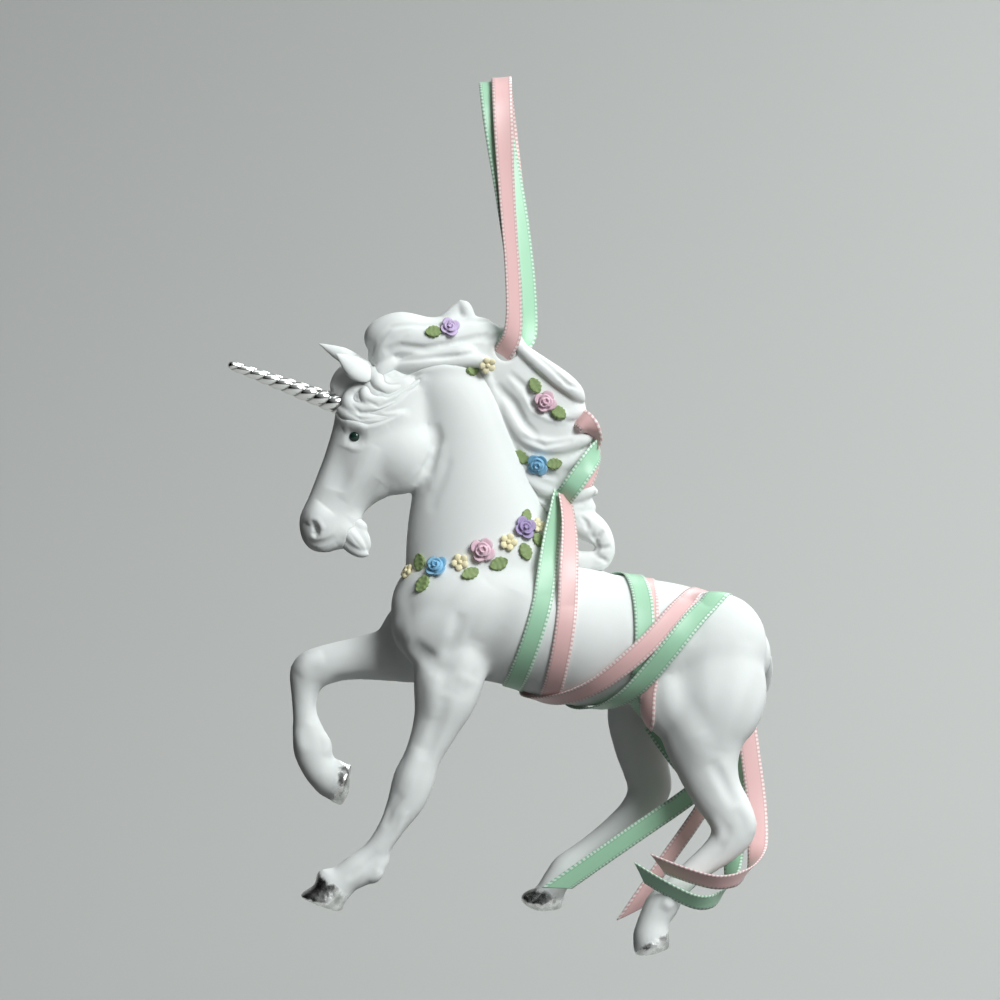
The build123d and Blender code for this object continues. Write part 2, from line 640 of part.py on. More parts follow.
def wound(solids, lead, shares, trail):
    """A ribbon wound on the solids, between the free points that lead to it and trail from it."""
    chest = Vector(-CHEST_REACH, 0, -CHEST_DROP)
    points = [chest + Vector(*p) for p in lead]
    outward = [None] * len(lead)
    for along, angle, layer in eased(shares):
        axis = Axis(torso_centre(along), (0, -sin(radians(angle)), cos(radians(angle))))
        point, normal = outermost(solids, axis)
        lift = RIBBON_CLEARANCE + RIBBON_THICKNESS / 2 + layer * (RIBBON_CLEARANCE + RIBBON_THICKNESS)
        points.append(point + normal * lift)
        outward.append(normal)
    points += [chest + Vector(*p) for p in trail]
    outward += [outward[-1]] * len(trail)
    outward = [normal or outward[len(lead)] for normal in outward]
    last = len(points) - 1
    steps = [points[min(i + 1, last)] - points[max(i - 1, 0)] for i in range(last + 1)]
    return band(points, [step.cross(normal) for step, normal in zip(steps, outward)])


def loop_outline(offset):
    """The outline of the hanging loop, seen along X: over the hook, down both sides and through the mane."""
    mane_half = MANE_BREADTH * MANE_SHARES[1][4] / 2
    side = mane_half + RIBBON_CLEARANCE - LOOP_LOWER_RADIUS
    lift = LOOP_LOWER_RADIUS + RIBBON_THICKNESS + LOOP_LAYER_GAP / 2
    rounds = [
        Pos(0, -LOOP_RADIUS) * Circle(LOOP_RADIUS + offset),
        Pos(side, lift - LOOP_DROP) * Circle(LOOP_LOWER_RADIUS + offset),
        Pos(-side, lift - LOOP_DROP) * Circle(LOOP_LOWER_RADIUS + offset),
    ]
    return make_hull([edge for disc in rounds for edge in disc.edges()])


def loop_ribbon(offset):
    """One layer of the hanging loop, offset from its inside."""
    ring = loop_outline(offset + RIBBON_THICKNESS) - loop_outline(offset)
    return extrude(Plane.YZ * ring, RIBBON_WIDTH / 2, both=True).solid()


def hung(shape):
    """A piece of the figure frame, placed in the row frame."""
    return Pos(0, 0, -LOOP_DROP) * Rot(0, HANG_TILT, 0) * shape


# Castings, each cut by the one that it is luted to
nodes = {}
torso = torso_solid(0.0, TORSO_SHARES)
neck_base = Vector(NECK_ALONG - CHEST_REACH, 0, NECK_SEAT - CHEST_DROP)
neck_rise = CHEST_DROP - NECK_SEAT - NECK_TOP_DROP
neck = tapered(neck_base, -NECK_LEAN, 0.0, neck_rise, NECK_DEPTH, NECK_BREADTH, NECK_SHARES)
unturned_head = head_piece(HEAD_DEPTH, HEAD_BREADTH, HEAD_SHARES)
head = turned(unturned_head)
legs = {name: leg_solid(name) for name in LEG_SIZES}

vent_top = torso_centre(VENT_SHARE)
vent = Pos(vent_top.X, 0, vent_top.Z - TORSO_DEPTH / 2) * Cylinder(VENT_DIAMETER / 2, TORSO_DEPTH)
nodes["torso"] = without(torso, torso_solid(TORSO_WALL, TORSO_SHARES[2:-2]), vent)
nodes["neck"] = without(neck, torso)

horn_base = head_point(HORN_REACH_SHARE, HORN_DROP_SHARE)
horn_place = Pos(*horn_base) * Rot(0, HORN_RISE_ANGLE - 90, 0)
socket = Pos(0, 0, -TANG_LENGTH / 2) * Cylinder(TANG_DIAMETER / 2 + GLUE_GAP, TANG_LENGTH)
horn = turned(horn_place * horn_solid())
nodes["horn"] = horn
horn_socket = turned(horn_place * socket)
nodes["head"] = without(head, neck, horn, horn_socket)

forelock = turned(head_piece(FORELOCK_DEPTH, FORELOCK_BREADTH, FORELOCK_SHARES))
nodes["forelock"] = without(forelock, head, neck, horn, horn_socket)
for name, shares in {"ear_left": EAR_LEFT_SHARES, "ear_right": EAR_RIGHT_SHARES}.items():
    nodes[name] = without(turned(head_piece(EAR_DEPTH, EAR_BREADTH, shares)), head, neck, forelock)
nodes["beard"] = without(turned(head_piece(BEARD_DEPTH, BEARD_BREADTH, BEARD_SHARES)), head)
eye_spot = head_point(EYE_REACH_SHARE, EYE_DROP_SHARE)
for name, hand in {"eye_left": NEAR, "eye_right": FAR}.items():
    place = seat([unturned_head], eye_spot.X, eye_spot.Z, hand)
    nodes[name] = turned(place * eye_cap())

for name, leg in legs.items():
    nodes[name] = without(leg, torso)
    nodes[name.replace("leg", "_hoof")] = hoof_solid(name)

tail_start = torso_centre(TAIL_START_SHARE)
tail = tapered(tail_start, -TAIL_REACH, TAIL_SIDE, -TAIL_DROP, TAIL_DEPTH, TAIL_BREADTH, TAIL_SHARES)
nodes["tail"] = without(tail, torso, legs["hindleg_right"], legs["hindleg_left"])

# Mane
hole = Rot(90, 0, 0) * Cylinder(HANGER_HOLE_DIAMETER / 2, CUT_OVERRUN)
panel_faces = []
for front_x, front_z, rear_x, rear_z, breadth in MANE_SHARES:
    front = Vector(MANE_SWEEP * front_x, 0, MANE_DROP * front_z)
    rear = Vector(MANE_SWEEP * rear_x, 0, MANE_DROP * rear_z)
    across = (rear - front).normalized()
    along = Vector(across.Z, 0, -across.X)
    panel_faces.append(oval((front + rear) / 2, along, (rear - front).length, MANE_BREADTH * breadth))
panel = loft(panel_faces).solid()
hole_panel = without(panel, hole)
nodes["mane_panel"] = without(hole_panel, neck, torso)
crest = tapered(Vector(), -CREST_LENGTH, 0.0, CREST_HEIGHT, CREST_HEIGHT, CREST_BREADTH, CREST_SHARES)
tuft = tapered(Vector(), -CREST_LENGTH, 0.0, CREST_HEIGHT, CREST_HEIGHT, CREST_BREADTH, TUFT_SHARES)
crest = (crest + tuft).solid()
nodes["mane_crest"] = without(crest, panel, neck, forelock)
mane_origin = Vector()
lock = tapered(mane_origin, MANE_SWEEP, MANE_BREADTH, MANE_DROP, LOCK_DEPTH, LOCK_BREADTH, LOCK_SHARES)
nodes["mane_lock"] = without(lock, panel, neck)
curl = tapered(mane_origin, MANE_SWEEP, 0.0, MANE_DROP, CURL_DEPTH, CURL_BREADTH, CURL_SHARES)
nodes["mane_curl"] = without(curl, panel, neck, torso)

# Flowers
def mane_seat(share, turn=0.0):
    """The plane of a mane flower, on the left of the mane."""
    return seat([panel, neck, crest], MANE_SWEEP * share[0], MANE_DROP * share[1], NEAR, turn)


def garland_seat(share, hand, turn=0.0):
    """The plane of a garland flower, on the left or the right of the neck."""
    x = GARLAND_LENGTH * share[0] + GARLAND_ALONG - CHEST_REACH
    z = GARLAND_RISE * share[1] + GARLAND_SEAT - CHEST_DROP
    return seat([torso, neck], x, z, hand, turn)


hands = (NEAR, FAR)
for name, share in MANE_ROSE_SHARES.items():
    nodes[name] = rose(mane_seat(share))
nodes["mane_blossom"] = blossom(mane_seat(MANE_BLOSSOM_SHARE))
mane_leaves = [
    leaf(mane_seat(leaf_share(MANE_ROSE_SHARES[name], ROSE_DIAMETER / 2, turn, MANE_SWEEP, MANE_DROP), turn))
    for name, turns in MANE_LEAF_TURNS.items()
    for turn in turns
]
beside = leaf_share(MANE_BLOSSOM_SHARE, BLOSSOM_DIAMETER / 2, MANE_BLOSSOM_LEAF_TURN, MANE_SWEEP, MANE_DROP)
mane_leaves.append(leaf(mane_seat(beside, MANE_BLOSSOM_LEAF_TURN)))
nodes["mane_leaves"] = Compound([without(piece, panel, neck) for piece in mane_leaves])
for name, share in GARLAND_ROSE_SHARES.items():
    nodes[name] = Compound([without(rose(garland_seat(share, hand)), torso, neck) for hand in hands])
nodes["garland_blossoms"] = Compound(
    [
        without(blossom(garland_seat(share, hand)), torso, neck)
        for share in GARLAND_BLOSSOM_SHARES
        for hand in hands
    ]
)
garland_leaves = []
for name, turns in GARLAND_LEAF_TURNS.items():
    for turn in turns:
        place = leaf_share(GARLAND_ROSE_SHARES[name], ROSE_DIAMETER / 2, turn, GARLAND_LENGTH, GARLAND_RISE)
        garland_leaves += [without(leaf(garland_seat(place, hand, turn)), torso, neck) for hand in hands]
nodes["garland_leaves"] = Compound(garland_leaves)

# Ribbons that the figure holds
winding_core = [torso, legs["hindleg_left"], legs["hindleg_right"]]
for name, shares in GIRTH_SHARES.items():
    nodes[name] = wound(winding_core, GIRTH_LEAD[name], shares, GIRTH_TRAIL[name])
for name, shares in FLANK_SHARES.items():
    nodes[name] = wound(winding_core, FLANK_LEAD[name], shares, FLANK_TRAIL[name])
for routes, sides in [
    (MANE_RIBBON_ROUTES, [MANE_RIBBON_SIDES] * 2),
    (RUMP_TAIL_ROUTES, [RUMP_TAIL_SIDES] * 2),
]:
    for (name, route), across in zip(routes.items(), sides):
        nodes[name] = band([Vector(*p) for p in route], [Vector(*s) for s in across])
for name, route in INNER_TAIL_ROUTES.items():
    points = [Vector(*p) for p in route]
    last = len(points) - 1
    steps = [points[min(i + 1, last)] - points[max(i - 1, 0)] for i in range(last + 1)]
    nodes[name] = band(points, [step.cross(Vector(0, 1, 0)) for step in steps])

nodes = {name: hung(shape) for name, shape in nodes.items()}
nodes["hanger_ribbon_green"] = loop_ribbon(0.0)
nodes["hanger_ribbon_pink"] = loop_ribbon(RIBBON_THICKNESS + LOOP_LAYER_GAP)

os.makedirs("parts", exist_ok=True)
for name, shape in nodes.items():
    export_step(shape, f"parts/{name}.step")
print(len(nodes), "nodes")
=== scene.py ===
"""Looks of a hanging bisque porcelain unicorn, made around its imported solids."""

import math

import bmesh
import bpy
import numpy as np
from mathutils import Matrix, Vector
from mathutils.bvhtree import BVHTree


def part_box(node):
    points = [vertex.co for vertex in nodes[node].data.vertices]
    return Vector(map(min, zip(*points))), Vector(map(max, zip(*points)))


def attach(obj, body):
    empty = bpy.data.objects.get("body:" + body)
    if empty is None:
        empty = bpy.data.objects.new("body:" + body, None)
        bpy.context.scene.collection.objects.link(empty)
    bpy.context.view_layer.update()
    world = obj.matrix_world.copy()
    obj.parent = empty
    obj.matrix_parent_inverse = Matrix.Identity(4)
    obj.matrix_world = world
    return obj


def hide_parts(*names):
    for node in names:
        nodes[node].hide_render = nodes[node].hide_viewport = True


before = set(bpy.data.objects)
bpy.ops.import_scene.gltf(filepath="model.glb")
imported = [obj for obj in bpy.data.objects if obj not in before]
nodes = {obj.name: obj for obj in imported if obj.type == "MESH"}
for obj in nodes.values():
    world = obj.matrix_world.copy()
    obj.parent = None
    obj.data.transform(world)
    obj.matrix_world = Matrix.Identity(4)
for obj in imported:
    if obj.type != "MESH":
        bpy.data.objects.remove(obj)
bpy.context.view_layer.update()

# Porcelain body: torso, neck, head and legs are slip castings, luted together while damp and sponged
# over, so one skin of unglazed white bisque runs across the joins. The hooves are cut from it below.
MM = 0.001
HANG = Matrix.Translation((0, 0, -41.2 * MM)) @ Matrix.Rotation(math.radians(4.4), 4, "Y") @ Matrix.Scale(MM, 4)
HOLE_ACROSS, HOLE_DOWN, DOTS_PER_MM = 506, 350, 6.45
BODY_VOXEL = 0.42 * MM
CASTINGS = ["neck", "head", "foreleg_left", "foreleg_right", "hindleg_left", "hindleg_right"]
HOOVES = ["fore_hoof_left", "fore_hoof_right", "hind_hoof_left", "hind_hoof_right"]


def at(across, down, side=0.0):
    """The point that shows at a place of the 1000 x 1000 frame, so many mm to the unicorn's right."""
    return HANG @ Vector(((across - HOLE_ACROSS) / DOTS_PER_MM, side, (HOLE_DOWN - down) / DOTS_PER_MM))


def add_node(shape, name):
    """Adds a merged copy of a solid to a shape."""
    shape.from_mesh(nodes[name].data)
    bmesh.ops.remove_doubles(shape, verts=shape.verts, dist=1e-6)


def linked(name, mesh):
    """A new object of a mesh, at the origin."""
    piece = bpy.data.objects.new(name, mesh)
    bpy.context.collection.objects.link(piece)
    return piece


def fused(name, shape, voxel, passes):
    """A new object of a shape whose overlapping shells are fused on one even mesh and sponged smooth."""
    mesh = bpy.data.meshes.new(name)
    shape.to_mesh(mesh)
    shape.free()
    piece = linked(name, mesh)
    fuse = piece.modifiers.new("fuse", "REMESH")
    fuse.mode = "VOXEL"
    fuse.voxel_size = voxel
    fuse.use_smooth_shade = True
    sponge = piece.modifiers.new("sponge", "SMOOTH")
    sponge.factor = 0.5
    sponge.iterations = passes
    smooth = bpy.data.meshes.new_from_object(piece.evaluated_get(bpy.context.evaluated_depsgraph_get()))
    piece.modifiers.clear()
    piece.data = smooth
    smooth.name = name
    return piece


def surface(piece):
    """A piece's mesh, ready to be probed."""
    mesh = piece.data
    return BVHTree.FromPolygons([v.co for v in mesh.vertices], [p.vertices for p in mesh.polygons])


def near_side(tree, line, hand=-1):
    """Where places of the frame meet a surface that is seen from the left (-1) or the right (1)."""
    met = []
    for across, down in line:
        hit = tree.ray_cast(at(across, down, 60 * hand), Vector((0, -hand, 0)))[0]
        if hit is not None:
            met.append(hit)
    return met


def press(piece, line, radius, height):
    """Raises, or sinks where height is below zero, a soft ridge along points, fading at its ends; in mm."""
    mesh = piece.data
    spots = np.empty(len(mesh.vertices) * 3)
    mesh.vertices.foreach_get("co", spots)
    spots = spots.reshape(-1, 3)
    normals = np.empty(len(mesh.vertices) * 3)
    mesh.vertex_normals.foreach_get("vector", normals)
    normals = normals.reshape(-1, 3)
    line = np.array([tuple(p) for p in line])
    away = np.full(len(spots), 1e9)
    fade = np.ones(len(spots))
    runs = len(line) - 1
    for i in range(max(runs, 1)):
        a, b = line[i], line[min(i + 1, runs)]
        step = b - a
        share = np.clip((spots - a) @ step / max(step @ step, 1e-18), 0, 1)
        gap = np.linalg.norm(spots - a - share[:, None] * step, axis=1)
        nearer = gap < away
        away[nearer] = gap[nearer]
        if runs:
            fade[nearer] = np.sin(math.pi * (i + share[nearer]) / runs) ** 0.6
    weight = np.clip(1 - (away / (radius * MM)) ** 2, 0, 1) ** 2 * fade
    spots += normals * (weight * height * MM)[:, None]
    mesh.vertices.foreach_set("co", spots.ravel())
    mesh.update()


torso = bmesh.new()
add_node(torso, "torso")
unhang = HANG.inverted()
inner = []
for face in torso.faces:
    x, y, z = unhang @ face.calc_center_median()
    core_x = min(max(x, -10), 34)
    core = Vector((core_x, 0, -40.6 - 0.148 * max(core_x + 4, 0)))
    if (HANG.to_3x3() @ (Vector((x, y, z)) - core)).normalized().dot(face.normal) < 0.15:
        inner.append(face)
bmesh.ops.delete(torso, geom=inner, context="FACES")
bmesh.ops.holes_fill(torso, edges=[edge for edge in torso.edges if edge.is_boundary])
clay = bpy.data.meshes.new("clay")
torso.to_mesh(clay)
torso.free()

skin = bmesh.new()
skin.from_mesh(clay)
bpy.data.meshes.remove(clay)
for name in CASTINGS + HOOVES:
    add_node(skin, name)
MUSCLES = [
    (454, 622, -5.2, 9.0, 6.4, 4.2, 38),
    (456, 660, -5.4, 6.2, 5.0, 3.6, 70),
    (420, 640, 4.4, 7.0, 6.0, 4.4, 20),
    (430, 628, -2.4, 5.6, 5.9, 4.6, 80),
    (709, 650, -5.4, 9.4, 8.4, 4.8, 60),
    (696, 650, 5.4, 9.2, 8.2, 4.8, 60),
    (678, 700, -6.0, 6.2, 6.2, 4.2, 80),
    (398, 452, -1.2, 6.6, 6.2, 4.9, 45),
]
FEET = [
    ("hind_hoof_right", 541, 905, 3.3, 1.75, 2.2, -12),
    ("fore_hoof_left", 336, 880, 3.3, 2.1, 2.2, -36),
    ("fore_hoof_left", 379, 863, 3.2, 1.45, 1.6, 60),
    ("fore_hoof_right", 337, 785, 3.7, 1.85, 2.1, 90),
    ("fore_hoof_right", 309, 750, 3.0, 2.2, 1.9, -10),
]
for name, across, down, half_length, half_depth, half_breadth, lean in FEET:
    low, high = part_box(name)
    MUSCLES.append((across, down, (low.y + high.y) / 2 / MM, half_length, half_depth, half_breadth, lean))
for across, down, side, half_length, half_depth, half_breadth, lean in MUSCLES:
    lump = Matrix.Translation(at(across, down, side)) @ Matrix.Rotation(math.radians(4.4 - lean), 4, "Y")
    lump = lump @ Matrix.Diagonal((half_length * MM, half_breadth * MM, half_depth * MM, 1))
    bmesh.ops.create_uvsphere(skin, u_segments=32, v_segments=20, radius=1.0, matrix=lump)
body = fused("porcelain_body", skin, BODY_VOXEL, 22)

# The head is worked finer than the rest: eye hollows, cheeks, nostrils, mouth and throat folds. Muscles
# of the chest, shoulder, elbow, flank and hocks are thumbed into the damp clay with soft strokes.
POLL = Vector((-14.6, 0, 0))
HEAD_TURN = Matrix.Translation(POLL) @ Matrix.Rotation(math.radians(8.0), 4, "Z") @ Matrix.Translation(-POLL)
TURNED = HANG @ HEAD_TURN
HEAD_MIRROR = TURNED @ Matrix.Diagonal((1, -1, 1, 1)) @ TURNED.inverted()
BODY_MIRROR = Matrix.Diagonal((1, -1, 1, 1))
fine = bmesh.new()
fine.from_mesh(body.data)
unturn = TURNED.inverted()
head_edges = []
for edge in fine.edges:
    x, y, z = unturn @ edge.verts[0].co
    if x < -11.5 and -34.5 < z < -2 and (x < -18 or z < -18 + 1.2 * (x + 18) + 20):
        if x < -13.5 - max(0, (-22 - z)) * 0.35:
            head_edges.append(edge)
bmesh.ops.subdivide_edges(fine, edges=head_edges, cuts=1, use_grid_fill=True)
bmesh.ops.triangulate(fine, faces=[face for face in fine.faces if len(face.verts) > 4])
fine.to_mesh(body.data)
fine.free()
HEAD_STROKES = [
    ([(357, 438)], 2.2, -0.45),
    ([(345, 430), (351, 426), (359, 426), (367, 431)], 1.3, 0.32),
    ([(349, 445), (355, 448), (361, 448), (366, 444)], 0.9, 0.14),
    ([(348, 448), (342, 468), (336, 490)], 2.6, -0.32),
    ([(376, 446), (366, 466), (352, 488), (344, 500)], 1.8, 0.22),
    ([(376, 489), (388, 492), (402, 491), (414, 484), (426, 470)], 2.8, 0.42),
    ([(382, 482), (372, 492), (362, 506), (354, 518)], 2.4, -0.22),
    ([(436, 424), (438, 438), (434, 454), (426, 470), (414, 484)], 1.3, -0.50),
    ([(441, 444), (443, 458), (438, 473), (429, 490)], 1.4, 0.22),
    ([(443, 450), (447, 464), (442, 480), (434, 498), (431, 512)], 1.4, -0.18),
    ([(326, 506), (318, 516), (314, 526)], 2.8, 0.50),
    ([(314, 520), (318, 526), (318, 532), (315, 536)], 0.75, -0.75),
    ([(310, 524), (314, 518), (320, 519), (324, 527), (321, 535)], 0.7, 0.20),
    ([(309, 541), (318, 543), (328, 541), (337, 536)], 0.8, -0.20),
    ([(318, 549), (328, 549), (338, 544)], 1.2, 0.25),
]
BODY_STROKES = [
    ([(398, 590), (399, 612), (404, 640)], 3.2, 0.40),
    ([(412, 640), (424, 651), (437, 662), (452, 674)], 2.0, -0.32),
    ([(430, 670), (434, 690), (432, 716)], 2.2, 0.25),
    ([(450, 678), (462, 686), (474, 690)], 1.8, -0.15),
    ([(462, 610), (454, 636), (442, 658)], 1.6, -0.40),
    ([(486, 580), (464, 606), (446, 632), (432, 650)], 3.4, 0.40),
    ([(516, 590), (500, 620), (484, 650), (470, 676)], 3.0, -0.45),
    ([(478, 640), (468, 664), (456, 690)], 2.6, 0.35),
    ([(640, 600), (646, 640), (650, 676)], 3.2, -0.30),
]
HIND_STROKES = [
    ([(664, 668), (672, 700), (690, 732), (704, 760)], 3.0, 0.28),
    ([(690, 620), (682, 656), (684, 700), (696, 730)], 3.4, -0.28),
    ([(744, 640), (738, 676), (728, 712), (716, 746)], 3.4, 0.28),
    ([(756, 672), (744, 704), (730, 734), (720, 760)], 2.2, -0.25),
    ([(708, 756), (720, 778), (732, 802)], 1.5, -0.35),
    ([(736, 796), (746, 812), (750, 830)], 1.6, 0.30),
    ([(708, 812), (716, 826), (722, 840)], 1.4, 0.22),
    ([(726, 820), (716, 846), (696, 868)], 1.0, -0.20),
    ([(660, 894), (670, 902), (682, 906)], 1.3, 0.45),
]
FORE_STROKES = [
    ([(420, 744), (412, 764), (402, 790)], 2.0, 0.35),
    ([(446, 694), (440, 716), (432, 738), (424, 756)], 1.6, -0.32),
    ([(404, 792), (392, 806), (386, 822)], 1.0, -0.25),
    ([(408, 806), (398, 830), (384, 852)], 1.0, 0.25),
    ([(384, 866), (372, 878), (358, 888)], 1.4, 0.40),
    ([(380, 846), (364, 862), (350, 874)], 1.0, -0.25),
]
RAISED_STROKES = [
    ([(322, 656), (306, 662), (297, 676)], 2.0, 0.35),
    ([(372, 676), (350, 679), (328, 683)], 1.6, -0.30),
    ([(314, 690), (313, 708), (312, 726)], 1.0, -0.25),
    ([(322, 734), (327, 746), (326, 758)], 1.5, 0.40),
    ([(296, 730), (298, 744), (304, 756)], 1.6, 0.25),
]
body_tree = surface(body)
for strokes, mirror in [
    (HEAD_STROKES, HEAD_MIRROR), (BODY_STROKES, BODY_MIRROR), (HIND_STROKES, None), (FORE_STROKES, None),
    (RAISED_STROKES, None),
]:
    for line, radius, height in strokes:
        met = near_side(body_tree, line)
        if not met:
            print("stroke off the body", line)
            continue
        press(body, met, radius, height)
        if mirror is not None:
            press(body, [body_tree.find_nearest(mirror @ p)[0] for p in met], radius, height)
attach(body, "figurine")
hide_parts("torso", *CASTINGS)

# Bisque: unglazed porcelain, faintly translucent, with a fine dry grain. Tints are stained slips.
def new_group(name, inputs, outputs):
    """An empty node group with named sockets."""
    group = bpy.data.node_groups.new(name, "ShaderNodeTree")
    for label, kind, value in inputs:
        socket = group.interface.new_socket(label, in_out="INPUT", socket_type=kind)
        socket.default_value = value
    for label, kind in outputs:
        group.interface.new_socket(label, in_out="OUTPUT", socket_type=kind)
    return group, group.nodes.new("NodeGroupInput"), group.nodes.new("NodeGroupOutput")


clay_grain, given, put = new_group(
    "clay_grain",
    [("Color", "NodeSocketColor", (1, 1, 1, 1)), ("Shade", "NodeSocketColor", (0.8, 0.8, 0.8, 1)),
     ("Mottle", "NodeSocketFloat", 0.2)],
    [("Color", "NodeSocketColor"), ("Roughness", "NodeSocketFloat"), ("Height", "NodeSocketFloat")],
)
links = clay_grain.links
place = clay_grain.nodes.new("ShaderNodeTexCoord")
cloud = clay_grain.nodes.new("ShaderNodeTexNoise")
cloud.inputs["Scale"].default_value = 160.0
cloud.inputs["Detail"].default_value = 5.0
links.new(place.outputs["Object"], cloud.inputs["Vector"])
dust = clay_grain.nodes.new("ShaderNodeTexNoise")
dust.inputs["Scale"].default_value = 5200.0
dust.inputs["Detail"].default_value = 3.0
links.new(place.outputs["Object"], dust.inputs["Vector"])
amount = clay_grain.nodes.new("ShaderNodeMath")
amount.operation = "MULTIPLY"
links.new(cloud.outputs["Fac"], amount.inputs[0])
links.new(given.outputs["Mottle"], amount.inputs[1])
blend = clay_grain.nodes.new("ShaderNodeMix")
blend.data_type = "RGBA"
links.new(amount.outputs[0], blend.inputs["Factor"])
links.new(given.outputs["Color"], blend.inputs["A"])
links.new(given.outputs["Shade"], blend.inputs["B"])
links.new(blend.outputs["Result"], put.inputs["Color"])
dry = clay_grain.nodes.new("ShaderNodeMapRange")
dry.inputs["To Min"].default_value = 0.62
dry.inputs["To Max"].default_value = 0.82
links.new(dust.outputs["Fac"], dry.inputs["Value"])
links.new(dry.outputs["Result"], put.inputs["Roughness"])
links.new(dust.outputs["Fac"], put.inputs["Height"])


def bisque(name, colour, shade, mottle, glow):
    """A matte porcelain of one colour, mottled towards a shade, that lets so much light glow through."""
    material = bpy.data.materials.new(name)
    material.use_nodes = True
    tree = material.node_tree
    shader = tree.nodes["Principled BSDF"]
    grain = tree.nodes.new("ShaderNodeGroup")
    grain.node_tree = clay_grain
    grain.inputs["Color"].default_value = (*colour, 1)
    grain.inputs["Shade"].default_value = (*shade, 1)
    grain.inputs["Mottle"].default_value = mottle
    bump = tree.nodes.new("ShaderNodeBump")
    bump.inputs["Strength"].default_value = 0.18
    bump.inputs["Distance"].default_value = 0.05 * MM
    tree.links.new(grain.outputs["Height"], bump.inputs["Height"])
    tree.links.new(bump.outputs["Normal"], shader.inputs["Normal"])
    tree.links.new(grain.outputs["Color"], shader.inputs["Base Color"])
    tree.links.new(grain.outputs["Roughness"], shader.inputs["Roughness"])
    shader.inputs["Subsurface Weight"].default_value = glow
    shader.inputs["Subsurface Radius"].default_value = (1.0, 0.95, 0.9)
    shader.inputs["Subsurface Scale"].default_value = 0.5 * MM
    shader.inputs["Specular IOR Level"].default_value = 0.3
    return material


white_bisque = bisque("white_bisque", (0.79, 0.805, 0.795), (0.73, 0.74, 0.73), 0.5, 0.3)
body.data.materials.append(white_bisque)

# Hooves: the lower ends of the legs, brushed with silver up to a ragged line at the coronet.
HOOF_CUTS = {
    "fore_hoof_left": ((338, 882), (-0.66, -0.75)),
    "fore_hoof_right": ((336, 784), (0.97, -0.23)),
    "hind_hoof_left": ((652, 934), (0.47, -0.88)),
    "hind_hoof_right": ((550, 897), (-0.40, -0.915)),
}
HOOF_REACH = 9 * MM
silver_wash = bpy.data.materials.new("silver_wash")
silver_wash.use_nodes = True
wash = silver_wash.node_tree
shader = wash.nodes["Principled BSDF"]
brush = wash.nodes.new("ShaderNodeTexNoise")
brush.inputs["Scale"].default_value = 620.0
brush.inputs["Detail"].default_value = 3.0
spots = wash.nodes.new("ShaderNodeTexCoord")
wash.links.new(spots.outputs["Object"], brush.inputs["Vector"])
ramp = wash.nodes.new("ShaderNodeValToRGB")
ramp.color_ramp.elements[0].position = 0.35
ramp.color_ramp.elements[0].color = (0.40, 0.40, 0.39, 1)
ramp.color_ramp.elements[1].position = 0.62
ramp.color_ramp.elements[1].color = (0.82, 0.82, 0.81, 1)
wash.links.new(brush.outputs["Fac"], ramp.inputs["Fac"])
painted = wash.nodes.new("ShaderNodeAttribute")
painted.attribute_name = "silver"
coat = wash.nodes.new("ShaderNodeMix")
coat.data_type = "RGBA"
coat.inputs["A"].default_value = (0.79, 0.805, 0.795, 1)
wash.links.new(painted.outputs["Fac"], coat.inputs["Factor"])
wash.links.new(ramp.outputs["Color"], coat.inputs["B"])
wash.links.new(coat.outputs["Result"], shader.inputs["Base Color"])
wash.links.new(painted.outputs["Fac"], shader.inputs["Metallic"])
rough = wash.nodes.new("ShaderNodeMapRange")
rough.inputs["To Min"].default_value = 0.16
rough.inputs["To Max"].default_value = 0.36
wash.links.new(brush.outputs["Fac"], rough.inputs["Value"])
wash.links.new(rough.outputs["Result"], shader.inputs["Roughness"])
dents = wash.nodes.new("ShaderNodeBump")
dents.inputs["Strength"].default_value = 0.45
dents.inputs["Distance"].default_value = 0.35 * MM
wash.links.new(brush.outputs["Fac"], dents.inputs["Height"])
wash.links.new(dents.outputs["Normal"], shader.inputs["Normal"])
ROOM_ABOVE_LINE = 0.45 * MM
